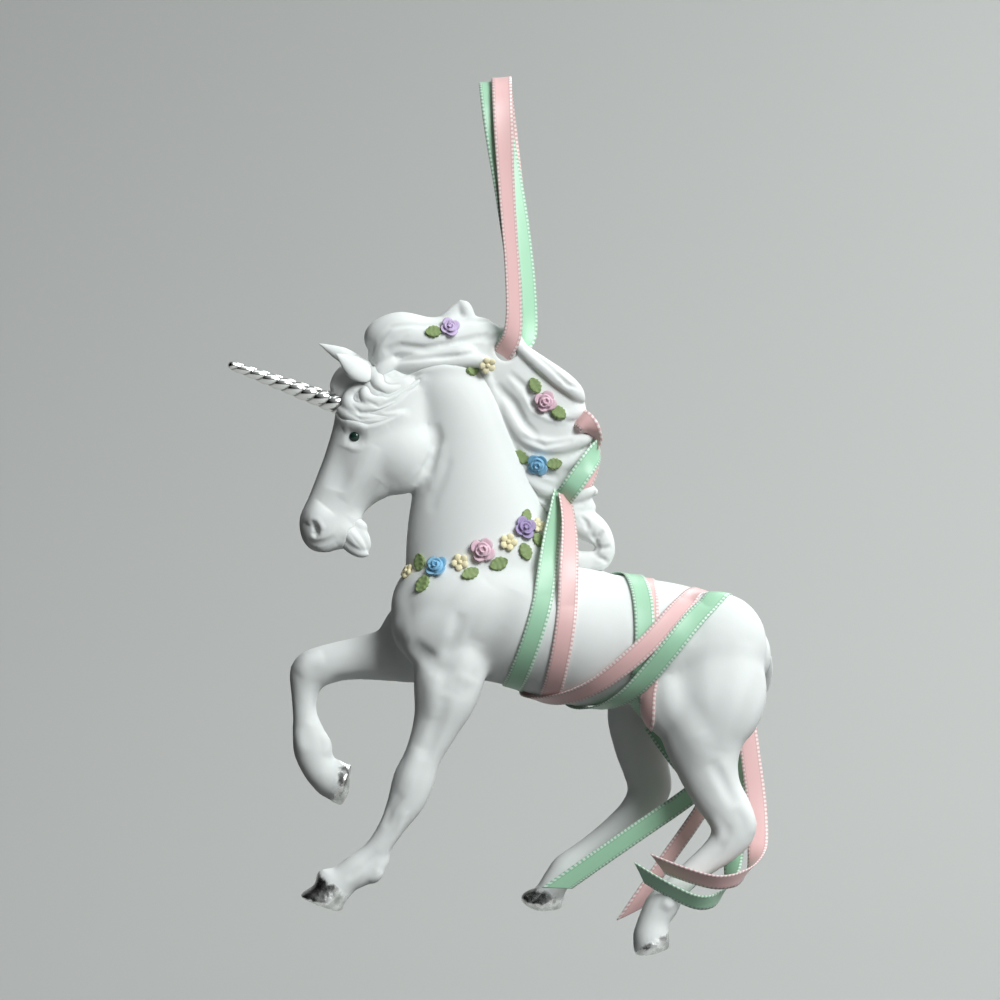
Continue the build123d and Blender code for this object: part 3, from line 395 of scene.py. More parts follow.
for name, ((across, down), (lean_x, lean_z)) in HOOF_CUTS.items():
    low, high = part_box(name)
    coronet = at(across, down)
    coronet.y = (low.y + high.y) / 2
    way = (HANG.to_3x3() @ Vector((lean_x, 0, lean_z))).normalized()
    cut = coronet - way * ROOM_ABOVE_LINE
    ends = []
    for keep_hoof in (True, False):
        part = bmesh.new()
        part.from_mesh(body.data)
        nearby = [v for v in part.verts if (v.co - coronet).length < HOOF_REACH and (v.co - cut).dot(way) > -2 * MM]
        if keep_hoof:
            away = set(part.verts) - set(nearby)
            bmesh.ops.delete(part, geom=list(away), context="VERTS")
            geom = part.verts[:] + part.edges[:] + part.faces[:]
        else:
            faces = {f for v in nearby for f in v.link_faces}
            edges = {e for f in faces for e in f.edges}
            verts = {v for f in faces for v in f.verts}
            geom = list(verts) + list(edges) + list(faces)
        bmesh.ops.bisect_plane(
            part, geom=geom, dist=1e-7, plane_co=cut, plane_no=way, clear_inner=keep_hoof, clear_outer=not keep_hoof
        )
        cap = bmesh.ops.holes_fill(part, edges=[e for e in part.edges if e.is_boundary])["faces"]
        for rim in {e for face in cap for e in face.edges}:
            rim.smooth = False
        ends.append(part)
    hoof_mesh = bpy.data.meshes.new(name + "_silver")
    ends[0].to_mesh(hoof_mesh)
    ends[1].to_mesh(body.data)
    for part in ends:
        part.free()
    silver = hoof_mesh.attributes.new("silver", "FLOAT", "POINT")
    for vert in hoof_mesh.vertices:
        ragged = 0.20 * math.sin(vert.co.x * 2600 + vert.co.y * 1900) + 0.14 * math.sin(vert.co.z * 4100 + vert.co.y * 3700)
        line = (vert.co - coronet).dot(way) / MM + ragged
        silver.data[vert.index].value = min(max(line / 0.25, 0.0), 1.0)
    hoof_mesh.polygons.foreach_set("use_smooth", [True] * len(hoof_mesh.polygons))
    hoof_mesh.materials.append(silver_wash)
    hoof = linked(name + "_silver", hoof_mesh)
    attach(hoof, "figurine")
    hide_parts(name)
body_tree = surface(body)

# Eyes: two low domes of dark green glaze.
eye_glaze = bpy.data.materials.new("eye_glaze")
eye_glaze.use_nodes = True
glaze = eye_glaze.node_tree
shader = glaze.nodes["Principled BSDF"]
depth_noise = glaze.nodes.new("ShaderNodeTexNoise")
depth_noise.inputs["Scale"].default_value = 1500.0
deep = glaze.nodes.new("ShaderNodeMix")
deep.data_type = "RGBA"
deep.inputs["A"].default_value = (0.004, 0.016, 0.012, 1)
deep.inputs["B"].default_value = (0.012, 0.050, 0.036, 1)
where = glaze.nodes.new("ShaderNodeTexCoord")
glaze.links.new(where.outputs["Object"], depth_noise.inputs["Vector"])
glaze.links.new(depth_noise.outputs["Fac"], deep.inputs["Factor"])
glaze.links.new(deep.outputs["Result"], shader.inputs["Base Color"])
shader.inputs["Roughness"].default_value = 0.12
EYE_RADIUS = 0.98 * MM
for name, hand in [("eye_left", -1), ("eye_right", 1)]:
    met = near_side(body_tree, [(356, 437)])[0]
    _, out, _, _ = body_tree.find_nearest(met)
    if hand > 0:
        met, out, _, _ = body_tree.find_nearest(HEAD_MIRROR @ met)
    ball = bmesh.new()
    seat = Matrix.Translation(met - out * EYE_RADIUS * 0.45) @ out.to_track_quat("Z", "X").to_matrix().to_4x4()
    bmesh.ops.create_uvsphere(ball, u_segments=24, v_segments=16, radius=EYE_RADIUS, matrix=seat)
    ball_mesh = bpy.data.meshes.new(name + "_glaze")
    ball.to_mesh(ball_mesh)
    ball.free()
    ball_mesh.polygons.foreach_set("use_smooth", [True] * len(ball_mesh.polygons))
    ball_mesh.materials.append(eye_glaze)
    eye = linked(name + "_glaze", ball_mesh)
    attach(eye, "figurine")
    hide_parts(name)

# Ears: thin pointed cups, pinched from clay and luted on beside the poll.
EARS = {
    "ear_left": ((372, 380), (336, 354), -3.4, -4.2, 2.7, 1.5, (-0.60, 0.75, -0.30)),
    "ear_right": ((366, 366), (316, 342), 1.2, 1.8, 1.7, 1.3, (-0.20, 0.85, -0.50)),
}
ears = []
for name, (root, tip, root_side, tip_side, width, thickness, faces_to) in EARS.items():
    start, end = at(*root, root_side), at(*tip, tip_side)
    along = (end - start).normalized()
    opening = Vector(faces_to)
    opening = (opening - along * opening.dot(along)).normalized()
    across = along.cross(opening)
    cup = bmesh.new()
    bmesh.ops.create_uvsphere(cup, u_segments=32, v_segments=24, radius=1.0)
    for vert in cup.verts:
        u, v, w = vert.co.z, vert.co.x, vert.co.y
        share = (u + 1) / 2
        narrow = (1 - 0.85 * share**1.8) * (0.75 + 0.5 * share if share < 0.5 else 1.0)
        hollow = w - 1.5 * max(w, 0.0) * (1 - min(abs(v) * 1.1, 1.0) ** 2) * (1 - share**6)
        vert.co = (
            start + along * ((end - start).length * (share * 1.02 - 0.02))
            + across * (v * width * MM * narrow) + opening * (hollow * thickness * MM * narrow)
        )
    bmesh.ops.recalc_face_normals(cup, faces=cup.faces)
    ear = fused(name + "_cup", cup, 0.16 * MM, 4)
    ears.append(ear)
    ear.data.materials.append(white_bisque)
    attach(ear, "figurine")
    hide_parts(name)

# Horn: a tapering twist of polished silver, glued into the forehead. Shade is painted near-black into the bottom of
# its spiral groove.
HORN_LENGTH, HORN_ROOT, HORN_RADIUS, HORN_TIP_RADIUS, HORN_PITCH = 17.3 * MM, 3.0 * MM, 1.72 * MM, 0.66 * MM, 2.1 * MM
HORN_RISE = 19.9
HORN_RINGS = 180
horn_silver = bpy.data.materials.new("horn_silver")
horn_silver.use_nodes = True
polish = horn_silver.node_tree
shader = polish.nodes["Principled BSDF"]
shader.inputs["Metallic"].default_value = 1.0
tarnish = polish.nodes.new("ShaderNodeTexNoise")
tarnish.inputs["Scale"].default_value = 700.0
tarnish.inputs["Detail"].default_value = 5.0
where = polish.nodes.new("ShaderNodeTexCoord")
polish.links.new(where.outputs["Object"], tarnish.inputs["Vector"])
# Painted shade: near-black is mixed into the base colour where the attribute marks the bottom of the spiral groove.
grooves = polish.nodes.new("ShaderNodeAttribute")
grooves.attribute_name = "painted_groove_shade"
shaded = polish.nodes.new("ShaderNodeMix")
shaded.data_type = "RGBA"
shaded.inputs["B"].default_value = (0.14, 0.14, 0.135, 1)
polish.links.new(grooves.outputs["Fac"], shaded.inputs["Factor"])
sheen = polish.nodes.new("ShaderNodeMix")
sheen.data_type = "RGBA"
sheen.inputs["A"].default_value = (0.78, 0.77, 0.75, 1)
sheen.inputs["B"].default_value = (0.93, 0.93, 0.92, 1)
polish.links.new(tarnish.outputs["Fac"], sheen.inputs["Factor"])
polish.links.new(sheen.outputs["Result"], shaded.inputs["A"])
polish.links.new(shaded.outputs["Result"], shader.inputs["Base Color"])
gloss = polish.nodes.new("ShaderNodeMapRange")
gloss.inputs["To Min"].default_value = 0.06
gloss.inputs["To Max"].default_value = 0.22
polish.links.new(tarnish.outputs["Fac"], gloss.inputs["Value"])
polish.links.new(gloss.outputs["Result"], shader.inputs["Roughness"])
twist = bmesh.new()
bmesh.ops.create_cone(
    twist, cap_ends=True, segments=40, radius1=HORN_RADIUS, radius2=HORN_TIP_RADIUS, depth=HORN_LENGTH + HORN_ROOT,
    matrix=Matrix.Translation((0, 0, (HORN_LENGTH - HORN_ROOT) / 2)),
)
long_edges = [e for e in twist.edges if abs(e.verts[0].co.z - e.verts[1].co.z) > HORN_LENGTH / 2]
bmesh.ops.subdivide_edges(twist, edges=long_edges, cuts=HORN_RINGS)
horn_place = TURNED @ Matrix.Translation((-26.755, 0, -8.208)) @ Matrix.Rotation(math.radians(HORN_RISE - 90), 4, "Y")
horn_place = horn_place @ Matrix.Scale(1 / MM, 4)
painted_groove_shade = twist.verts.layers.float.new("painted_groove_shade")
for vert in twist.verts:
    angle = math.atan2(vert.co.y, vert.co.x)
    share = vert.co.z / HORN_LENGTH
    phase = angle + math.pi * vert.co.z / HORN_PITCH
    ridge = 0.84 + 0.18 * abs(math.sin(phase)) ** 0.7
    tip = 1.0 if share < 0.96 else math.sqrt(max(1 - ((share - 0.96) / 0.04) ** 2, 0.02))
    # Painted shade mask: 1 at the bottom of the spiral groove, falling to 0 towards the ridges.
    vert[painted_groove_shade] = min(max(1.0 - 2.6 * abs(math.sin(phase)), 0.0), 1.0)
    vert.co.x *= ridge * tip
    vert.co.y *= ridge * tip
    vert.co = horn_place @ vert.co
bmesh.ops.recalc_face_normals(twist, faces=twist.faces)
horn_mesh = bpy.data.meshes.new("horn_twist")
twist.to_mesh(horn_mesh)
twist.free()
horn_mesh.polygons.foreach_set("use_smooth", [True] * len(horn_mesh.polygons))
horn_mesh.materials.append(horn_silver)
horn = linked("horn_twist", horn_mesh)
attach(horn, "figurine")
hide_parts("horn")

# Mane: thick locks rolled from clay and laid on a thin free-standing panel behind the neck, with a roll
# along the crest. Their strands are combed in with a wire tool, on both sides.
MANE_LOCKS = [
    ([(514, 342), (531, 358), (550, 374), (568, 387), (581, 398)], [0.8, 1.3, 1.8, 1.8, 1.2], 1.1),
    ([(506, 374), (520, 394), (538, 414), (560, 420), (582, 410)], [0.9, 1.3, 1.5, 1.5, 1.0], 1.1),
    ([(501, 398), (513, 424), (530, 442), (554, 448), (574, 443), (590, 438)], [0.9, 1.5, 1.8, 1.7, 1.4, 0.9], 1.3),
    ([(510, 434), (526, 456), (550, 466), (572, 464), (590, 454)], [0.9, 1.3, 1.5, 1.4, 0.9], 1.0),
    ([(517, 468), (534, 486), (556, 495), (576, 496), (592, 490)], [1.0, 1.4, 1.5, 1.3, 1.0], 1.0),
    ([(526, 488), (544, 506), (564, 513), (584, 513)], [1.0, 1.4, 1.4, 1.0], 0.75),
    ([(552, 508), (578, 518), (598, 529), (607, 547), (601, 563), (587, 563), (578, 553)],
     [1.2, 1.5, 1.6, 1.6, 1.5, 1.1, 0.7], 0.75),
    ([(556, 512), (574, 524), (590, 532), (604, 542)], [1.3, 1.7, 1.7, 1.2], 0.6),
    ([(558, 552), (572, 562), (588, 562), (602, 556)], [1.5, 1.8, 1.7, 1.2], 0.6),
    ([(560, 524), (566, 540), (566, 556)], [1.8, 1.8, 1.6], 0.5),
    ([(576, 522), (590, 525), (599, 530)], [0.8, 0.9, 0.7], 0.9),
    ([(588, 535), (600, 539), (607, 545)], [0.8, 0.9, 0.7], 0.9),
    ([(590, 558), (602, 556), (608, 559)], [0.8, 0.9, 0.7], 0.9),
    ([(470, 322), (466, 309), (462, 304)], [1.1, 1.1, 1.0], 0.2),
    ([(478, 362), (490, 382), (499, 408), (506, 436), (515, 464), (526, 490), (544, 514)],
     [0.9, 1.2, 1.3, 1.3, 1.3, 1.2, 1.0], 0.8),
    ([(404, 336), (391, 344), (385, 356), (386, 370)], [2.4, 2.3, 2.1, 1.6], 1.6),
    ([(420, 330), (400, 340), (388, 354)], [1.6, 1.8, 1.4], 2.4),
    ([(379, 344), (377, 356), (379, 369)], [1.5, 1.5, 1.2], 0.6),
]
CREST_ROLLS = [
    ([(386, 368), (404, 368), (424, 363), (452, 361), (480, 361), (490, 363)], [1.3, 1.5, 1.6, 1.5, 1.1, 0.9]),
    ([(400, 362), (388, 366), (378, 378)], [0.9, 1.5, 1.3]),
    ([(410, 360), (440, 354), (470, 352)], [1.6, 1.8, 1.4]),
]
MANE_GROOVES = [
    ([(604, 530), (598, 536), (592, 540)], 0.6, -0.50),
    ([(611, 546), (604, 548), (597, 548)], 0.6, -0.45),
    ([(609, 563), (603, 559), (596, 556)], 0.6, -0.45),
    ([(580, 516), (586, 522), (588, 530)], 0.6, -0.35),
    ([(496, 384), (514, 404), (524, 424), (540, 440)], 1.0, -0.55),
    ([(508, 372), (526, 388), (534, 408), (556, 418), (588, 424)], 0.8, -0.40),
    ([(520, 436), (545, 446), (572, 440), (592, 442)], 0.7, -0.35),
    ([(514, 448), (538, 472), (560, 478), (588, 470)], 0.8, -0.35),
    ([(520, 478), (540, 498), (560, 506), (585, 503)], 0.7, -0.40),
    ([(530, 500), (552, 516), (575, 516)], 0.7, -0.35),
    ([(590, 532), (598, 546), (592, 556)], 0.6, -0.35),
    ([(503, 338), (478, 338), (452, 345), (426, 350), (402, 347), (384, 352)], 0.9, -0.40),
    ([(500, 350), (474, 354), (446, 358), (420, 360), (396, 362)], 0.6, -0.30),
    ([(508, 328), (494, 322), (478, 321), (462, 322), (440, 326), (415, 326), (392, 328), (379, 342)], 0.7, -0.30),
    ([(500, 322), (496, 334), (486, 344)], 0.4, -0.20),
    ([(506, 326), (503, 338), (496, 348)], 0.4, -0.20),
    ([(492, 320), (488, 332), (478, 342)], 0.4, -0.18),
    ([(524, 346), (548, 366), (572, 390)], 0.5, -0.22),
    ([(516, 352), (540, 376), (566, 396), (584, 404)], 0.6, -0.28),
    ([(556, 374), (566, 384), (580, 390)], 0.5, -0.25),
]


def strand(shape, points, radii):
    """Adds a tapering strand of clay to a shape."""
    curve = bpy.data.curves.new("strand", "CURVE")
    curve.dimensions = "3D"
    curve.bevel_depth = 1.0
    curve.bevel_resolution = 4
    curve.use_fill_caps = True
    curve.resolution_u = 8
    first = points[0] + (points[0] - points[1]).normalized() * radii[0] * MM * 0.8
    last = points[-1] + (points[-1] - points[-2]).normalized() * radii[-1] * MM * 0.8
    spline = curve.splines.new("NURBS")
    spline.points.add(len(points) + 1)
    for knot, place, radius in zip(spline.points, [first, *points, last], [0.02, *radii, 0.02]):
        knot.co = (*place, 1)
        knot.radius = radius * MM
    spline.order_u = 3
    spline.use_endpoint_u = True
    holder = bpy.data.objects.new("strand", curve)
    roll = bpy.data.meshes.new_from_object(holder)
    shape.from_mesh(roll)
    bpy.data.objects.remove(holder)
    bpy.data.curves.remove(curve)
    bpy.data.meshes.remove(roll)


def combed(piece, grooves, hands):
    """Presses grooves into both sides of a piece."""
    tree = surface(piece)
    for line, radius, depth in grooves:
        for hand in hands:
            met = near_side(tree, line, hand)
            if met:
                press(piece, met, radius, depth)


mane_shape = bmesh.new()
for name in ["mane_panel", "mane_crest", "mane_lock", "mane_curl"]:
    add_node(mane_shape, name)
for line, radii, spread in MANE_LOCKS:
    for side in (-spread, spread):
        strand(mane_shape, [at(*p, side) for p in line], radii)
for line, radii in CREST_ROLLS:
    for hand in (-1, 1):
        met = [near_side(body_tree, [place], hand) or [at(*place, 3.0 * hand)] for place in line]
        strand(mane_shape, [hits[0] - Vector((0, hand * 0.5 * MM, 0)) for hits in met], radii)
mane = fused("mane_locks", mane_shape, 0.24 * MM, 8)
combed(mane, MANE_GROOVES, (-1, 1))
mane.data.materials.append(white_bisque)
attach(mane, "figurine")
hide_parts("mane_panel", "mane_crest", "mane_lock", "mane_curl")

# Forelock, beard and tail: more rolled locks, on the forehead, under the chin and beside the rump.
FORELOCKS = [
    ([(362, 388), (350, 398), (352, 411), (376, 411), (400, 400), (418, 384)], [1.2, 1.4, 1.3, 1.1, 0.8, 0.3]),
    ([(346, 398), (342, 411), (356, 420), (382, 421), (402, 415)], [1.1, 1.3, 1.2, 0.9, 0.3]),
    ([(366, 390), (368, 402), (386, 404), (408, 392), (424, 378)], [1.1, 1.2, 1.0, 0.7, 0.3]),
    ([(378, 376), (380, 390), (396, 392), (414, 378)], [1.4, 1.2, 0.9, 0.3]),
    ([(344, 404), (350, 418), (366, 426), (386, 425)], [0.9, 0.9, 0.7, 0.25]),
    ([(384, 372), (370, 380), (352, 388), (340, 398)], [1.4, 1.7, 1.6, 1.1]),
]
FORELOCK_GROOVES = [
    ([(352, 404), (362, 414), (386, 411), (408, 396)], 0.45, -0.22),
    ([(348, 413), (362, 420), (388, 419), (402, 414)], 0.4, -0.18),
    ([(366, 400), (380, 408), (398, 400), (412, 388)], 0.4, -0.20),
    ([(376, 388), (388, 398), (404, 390), (416, 378)], 0.4, -0.18),
]
LOCK_SINK = Vector((0, 0.25 * MM, 0))
fore_shape = bmesh.new()
for line, radii in FORELOCKS:
    met = [(near_side(body_tree, [place]), radius) for place, radius in zip(line, radii)]
    met = [(hits[0] + LOCK_SINK, radius) for hits, radius in met if hits]
    strand(fore_shape, [place for place, _ in met], [radius for _, radius in met])
strand(fore_shape, [at(372, 374, -0.6), at(356, 374, -0.4), at(345, 382, -0.2), at(340, 396, -0.2)], [2.4, 2.5, 2.4, 1.8])
forelock = fused("forelock_locks", fore_shape, 0.2 * MM, 6)
combed(forelock, FORELOCK_GROOVES, (-1,))
forelock.data.materials.append(white_bisque)
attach(forelock, "figurine")
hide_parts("forelock")

BEARDS = [
    ([(343, 535), (351, 545), (360, 552), (368, 554)], [1.3, 1.2, 0.95, 0.5], -2.6),
    ([(350, 525), (360, 532), (366, 540), (369, 549)], [1.3, 1.25, 0.95, 0.5], -2.3),
    ([(347, 530), (357, 541), (364, 548)], [1.4, 1.3, 0.6], -3.1),
    ([(353, 522), (363, 527), (366, 531)], [1.2, 1.0, 0.5], -2.4),
]
beard_shape = bmesh.new()
for line, radii, side in BEARDS:
    strand(beard_shape, [at(*p, side) for p in line], radii)
beard = fused("beard_locks", beard_shape, 0.16 * MM, 9)
combed(beard, [([(350, 532), (358, 542), (366, 551)], 0.35, -0.1), ([(354, 527), (362, 536), (367, 546)], 0.35, -0.1)], (-1, 1))
beard.data.materials.append(white_bisque)
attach(beard, "figurine")
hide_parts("beard")

TAIL_STRANDS = (0.2, 0.36, 0.52, 0.68, 0.84)
TAIL_FALLS = (0.06, 0.18, 0.32, 0.48, 0.64, 0.80, 0.94)
tail_shape = bmesh.new()
add_node(tail_shape, "tail")
tail = fused("tail_lock", tail_shape, 0.25 * MM, 6)
low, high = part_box("tail")
tail_tree = surface(tail)
for share in TAIL_STRANDS:
    met = []
    for fall in TAIL_FALLS:
        x = low.x + (high.x - low.x) * (share + 0.10 * math.sin(6 * fall))
        z = high.z - (high.z - low.z) * fall
        hit = tail_tree.ray_cast(Vector((x, high.y + HOOF_REACH, z)), Vector((0, -1, 0)))[0]
        if hit is not None:
            met.append(hit)
    if len(met) > 1:
        press(tail, met, 0.7, -0.45)
tail.data.materials.append(white_bisque)
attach(tail, "figurine")
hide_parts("tail")

# Luting: slip is brushed along the joins, so the skin rises softly to the locks and ears.
LUTE_REACH, LUTE_HEIGHT = 1.8 * MM, 0.42 * MM
added = [surface(piece) for piece in [mane, forelock, beard, *ears]]
normals = [v.normal.copy() for v in body.data.vertices]
for vert, normal in zip(body.data.vertices, normals):
    gaps = [tree.find_nearest(vert.co, LUTE_REACH)[3] for tree in added]
    gap = min([g for g in gaps if g is not None], default=LUTE_REACH)
    vert.co += normal * LUTE_HEIGHT * (1 - gap / LUTE_REACH) ** 2
body.data.update()
body_tree = surface(body)

# Flowers: roses of pinched petals, five-petal blossoms and veined leaves, modelled by hand from stained
# porcelain and pressed on while damp: four on the mane, and a garland round the base of the neck.
mane_tree = surface(mane)
rose_pink = bisque("rose_pink", (0.72, 0.42, 0.53), (0.86, 0.68, 0.74), 0.9, 0.2)
rose_blue = bisque("rose_blue", (0.17, 0.42, 0.66), (0.36, 0.62, 0.80), 0.9, 0.2)
rose_lilac = bisque("rose_lilac", (0.52, 0.38, 0.64), (0.72, 0.62, 0.80), 0.9, 0.2)
rose_violet = bisque("rose_violet", (0.30, 0.21, 0.45), (0.50, 0.42, 0.62), 0.9, 0.2)
blossom_cream = bisque("blossom_cream", (0.80, 0.70, 0.40), (0.86, 0.80, 0.62), 0.9, 0.2)
leaf_green = bisque("leaf_green", (0.16, 0.24, 0.08), (0.36, 0.44, 0.22), 0.9, 0.1)
ROSE_RINGS = [(4, 0.80, 0.75, 0.85, 0.0), (3, 0.52, 1.10, 0.50, 0.6), (3, 0.22, 1.42, 0.28, 1.5)]


def add_rose(shape, seat, size):
    """A dome ringed by cupped petals, whose lips turn out."""
    dome = seat @ Matrix.Translation((0, 0, 0.1 * MM)) @ Matrix.Diagonal((1.15 * size, 1.15 * size, 0.9 * size, 1))
    bmesh.ops.create_uvsphere(shape, u_segments=20, v_segments=12, radius=MM, matrix=dome)
    for count, root, height, flare, offset in ROSE_RINGS:
        for k in range(count):
            turn = 2 * math.pi * k / count + offset
            petal = bmesh.ops.create_grid(shape, x_segments=8, y_segments=6, size=1.0)["verts"]
            fold = bmesh.ops.extrude_face_region(shape, geom=list({f for v in petal for f in v.link_faces}))
            outer = [v for v in fold["geom"] if isinstance(v, bmesh.types.BMVert)]
            for vert, thick in [(v, 0.0) for v in petal] + [(v, 0.17) for v in outer]:
                u, rise = vert.co.x, (vert.co.y + 1) / 2
                spread = u * math.pi / count * 1.3 + 0.25 * rise * (1 - u)
                reach = (root + flare * rise**1.6) * (1 - 0.24 * u * u) * (1 + 0.10 * math.sin(3 * k + 5 * offset)) - thick
                lift = height * rise * (1 - 0.28 * u * u) - 0.12 * rise**4
                vert.co = seat @ (Vector((reach * math.cos(turn + spread), reach * math.sin(turn + spread), lift)) * size * MM)


def add_blossom(shape, seat, size):
    """Five round petals about a button."""
    for k in range(5):
        turn = 2 * math.pi * k / 5 + 0.3
        petal = seat @ Matrix.Rotation(turn, 4, "Z") @ Matrix.Translation((0.78 * MM * size, 0, 0.35 * MM))
        petal = petal @ Matrix.Rotation(-0.35, 4, "Y") @ Matrix.Diagonal((0.66 * size, 0.60 * size, 0.34, 1))
        bmesh.ops.create_uvsphere(shape, u_segments=14, v_segments=8, radius=MM, matrix=petal)
    button = seat @ Matrix.Translation((0, 0, 0.55 * MM)) @ Matrix.Diagonal((0.38, 0.38, 0.30, 1))
    bmesh.ops.create_uvsphere(shape, u_segments=12, v_segments=8, radius=MM, matrix=button)


def add_leaf(shape, seat, size):
    """A pointed leaf, creased along its vein, with ribs and a toothed edge."""
    blade = bmesh.ops.create_grid(shape, x_segments=16, y_segments=8, size=1.0)["verts"]
    under = bmesh.ops.extrude_face_region(shape, geom=list({f for v in blade for f in v.link_faces}))
    lower = [v for v in under["geom"] if isinstance(v, bmesh.types.BMVert)]
    for vert, depth in [(v, 0.42) for v in blade] + [(v, -0.35) for v in lower]:
        along, across = vert.co.x, vert.co.y
        width = 0.95 * (1 - along * along) ** 0.7 * (1 + 0.12 * math.cos(along * 14) * abs(across))
        rib = 0.10 * math.cos(along * 12 + abs(across) * 3) * abs(across) if depth > 0 else 0.0
        crease = 0.16 * abs(across) - 0.12 * across * across
        vert.co = seat @ (Vector((1.40 * along, width * across, depth + crease + rib)) * size * MM)


def seated(tree, across, down, hand, turn=0.0):
    """The place of a flower on a surface: its foot, facing out, turned in its plane."""
    foot, out, _, _ = tree.ray_cast(at(across, down, 60 * hand), Vector((0, -hand, 0)))
    if out.y * hand < 0:
        out = -out
    along = HANG.to_3x3() @ Vector((math.cos(turn), 0, math.sin(turn)))
    along = (along - out * along.dot(out)).normalized()
    return Matrix.Translation(foot) @ Matrix((along, out.cross(along), out)).transposed().to_4x4()


FLOWERS = [
    ("mane_rose_lilac", "rose_lilac", rose_lilac, add_rose, mane_tree, (-1,), [(450, 329, 0.2, 0.98)]),
    ("mane_rose_pink", "rose_pink", rose_pink, add_rose, mane_tree, (-1,), [(545, 402, 0.9, 1.08)]),
    ("mane_rose_blue", "rose_blue", rose_blue, add_rose, mane_tree, (-1,), [(538, 464, 0.5, 1.08)]),
    ("mane_blossom", "blossom_cream", blossom_cream, add_blossom, mane_tree, (-1,), [(487, 365, 0.3, 1.0)]),
    ("mane_leaves", "leaf_green", leaf_green, add_leaf, mane_tree, (-1,), [
        (434, 333, 3.3, 0.95), (472, 371, 3.4, 0.85), (535, 386, 2.1, 0.95), (558, 413, -0.7, 1.0),
        (521, 457, 2.7, 1.05), (554, 464, 0.1, 0.9),
    ]),
    ("garland_rose_blue", "rose_blue", rose_blue, add_rose, body_tree, (-1, 1), [(438, 567, 0.4, 1.15)]),
    ("garland_rose_pink", "rose_pink", rose_pink, add_rose, body_tree, (-1, 1), [(483, 550, 0.8, 1.22)]),
    ("garland_rose_violet", "rose_violet", rose_violet, add_rose, body_tree, (-1, 1), [(524, 528, 0.2, 1.12)]),
    ("garland_blossoms", "blossom_cream", blossom_cream, add_blossom, body_tree, (-1, 1), [
        (409, 572, 0.1, 0.9), (461, 562, 0.5, 1.0), (508, 542, 0.9, 1.0), (537, 526, 0.2, 0.9),
    ]),
    ("garland_leaves", "leaf_green", leaf_green, add_leaf, body_tree, (-1, 1), [
        (421, 562, 1.8, 1.0), (424, 583, -1.9, 1.05), (471, 573, -2.6, 1.0), (499, 563, 0.4, 1.05),
        (525, 551, -1.2, 1.0), (538, 540, -0.9, 0.9), (526, 516, 1.3, 0.8),
    ]),
]
for name, slot_name, stain, model, carrier, hands, places in FLOWERS:
    posy = bmesh.new()
    for across, down, turn, size in places:
        for hand in hands:
            tree = carrier
            if carrier is mane_tree and mane_tree.ray_cast(at(across, down, 60 * hand), Vector((0, -hand, 0)))[0] is None:
                tree = body_tree
            seat = seated(tree, across, down, hand, turn)
            model(posy, seat, size)
    bmesh.ops.recalc_face_normals(posy, faces=posy.faces)
    posy_mesh = bpy.data.meshes.new(name + "_clay")
    posy.to_mesh(posy_mesh)
    posy.free()
    posy_mesh.polygons.foreach_set("use_smooth", [True] * len(posy_mesh.polygons))
    posy_mesh.materials.append(stain)
    flower = linked(name + "_clay", posy_mesh)
    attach(flower, "figurine")
    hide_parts(name)

# Ribbons: one pink and one green satin ribbon, 3.1 mm wide, with a pale dotted picot edge.
# Some stretches are wound tight on the body, others hang free.
RIBBON_WIDTH = 3.1 * MM
PICOT_PITCH_MM = 0.64
STEP_LENGTH = 0.25 * MM
RIBBON_CLEAR = 0.16 * MM


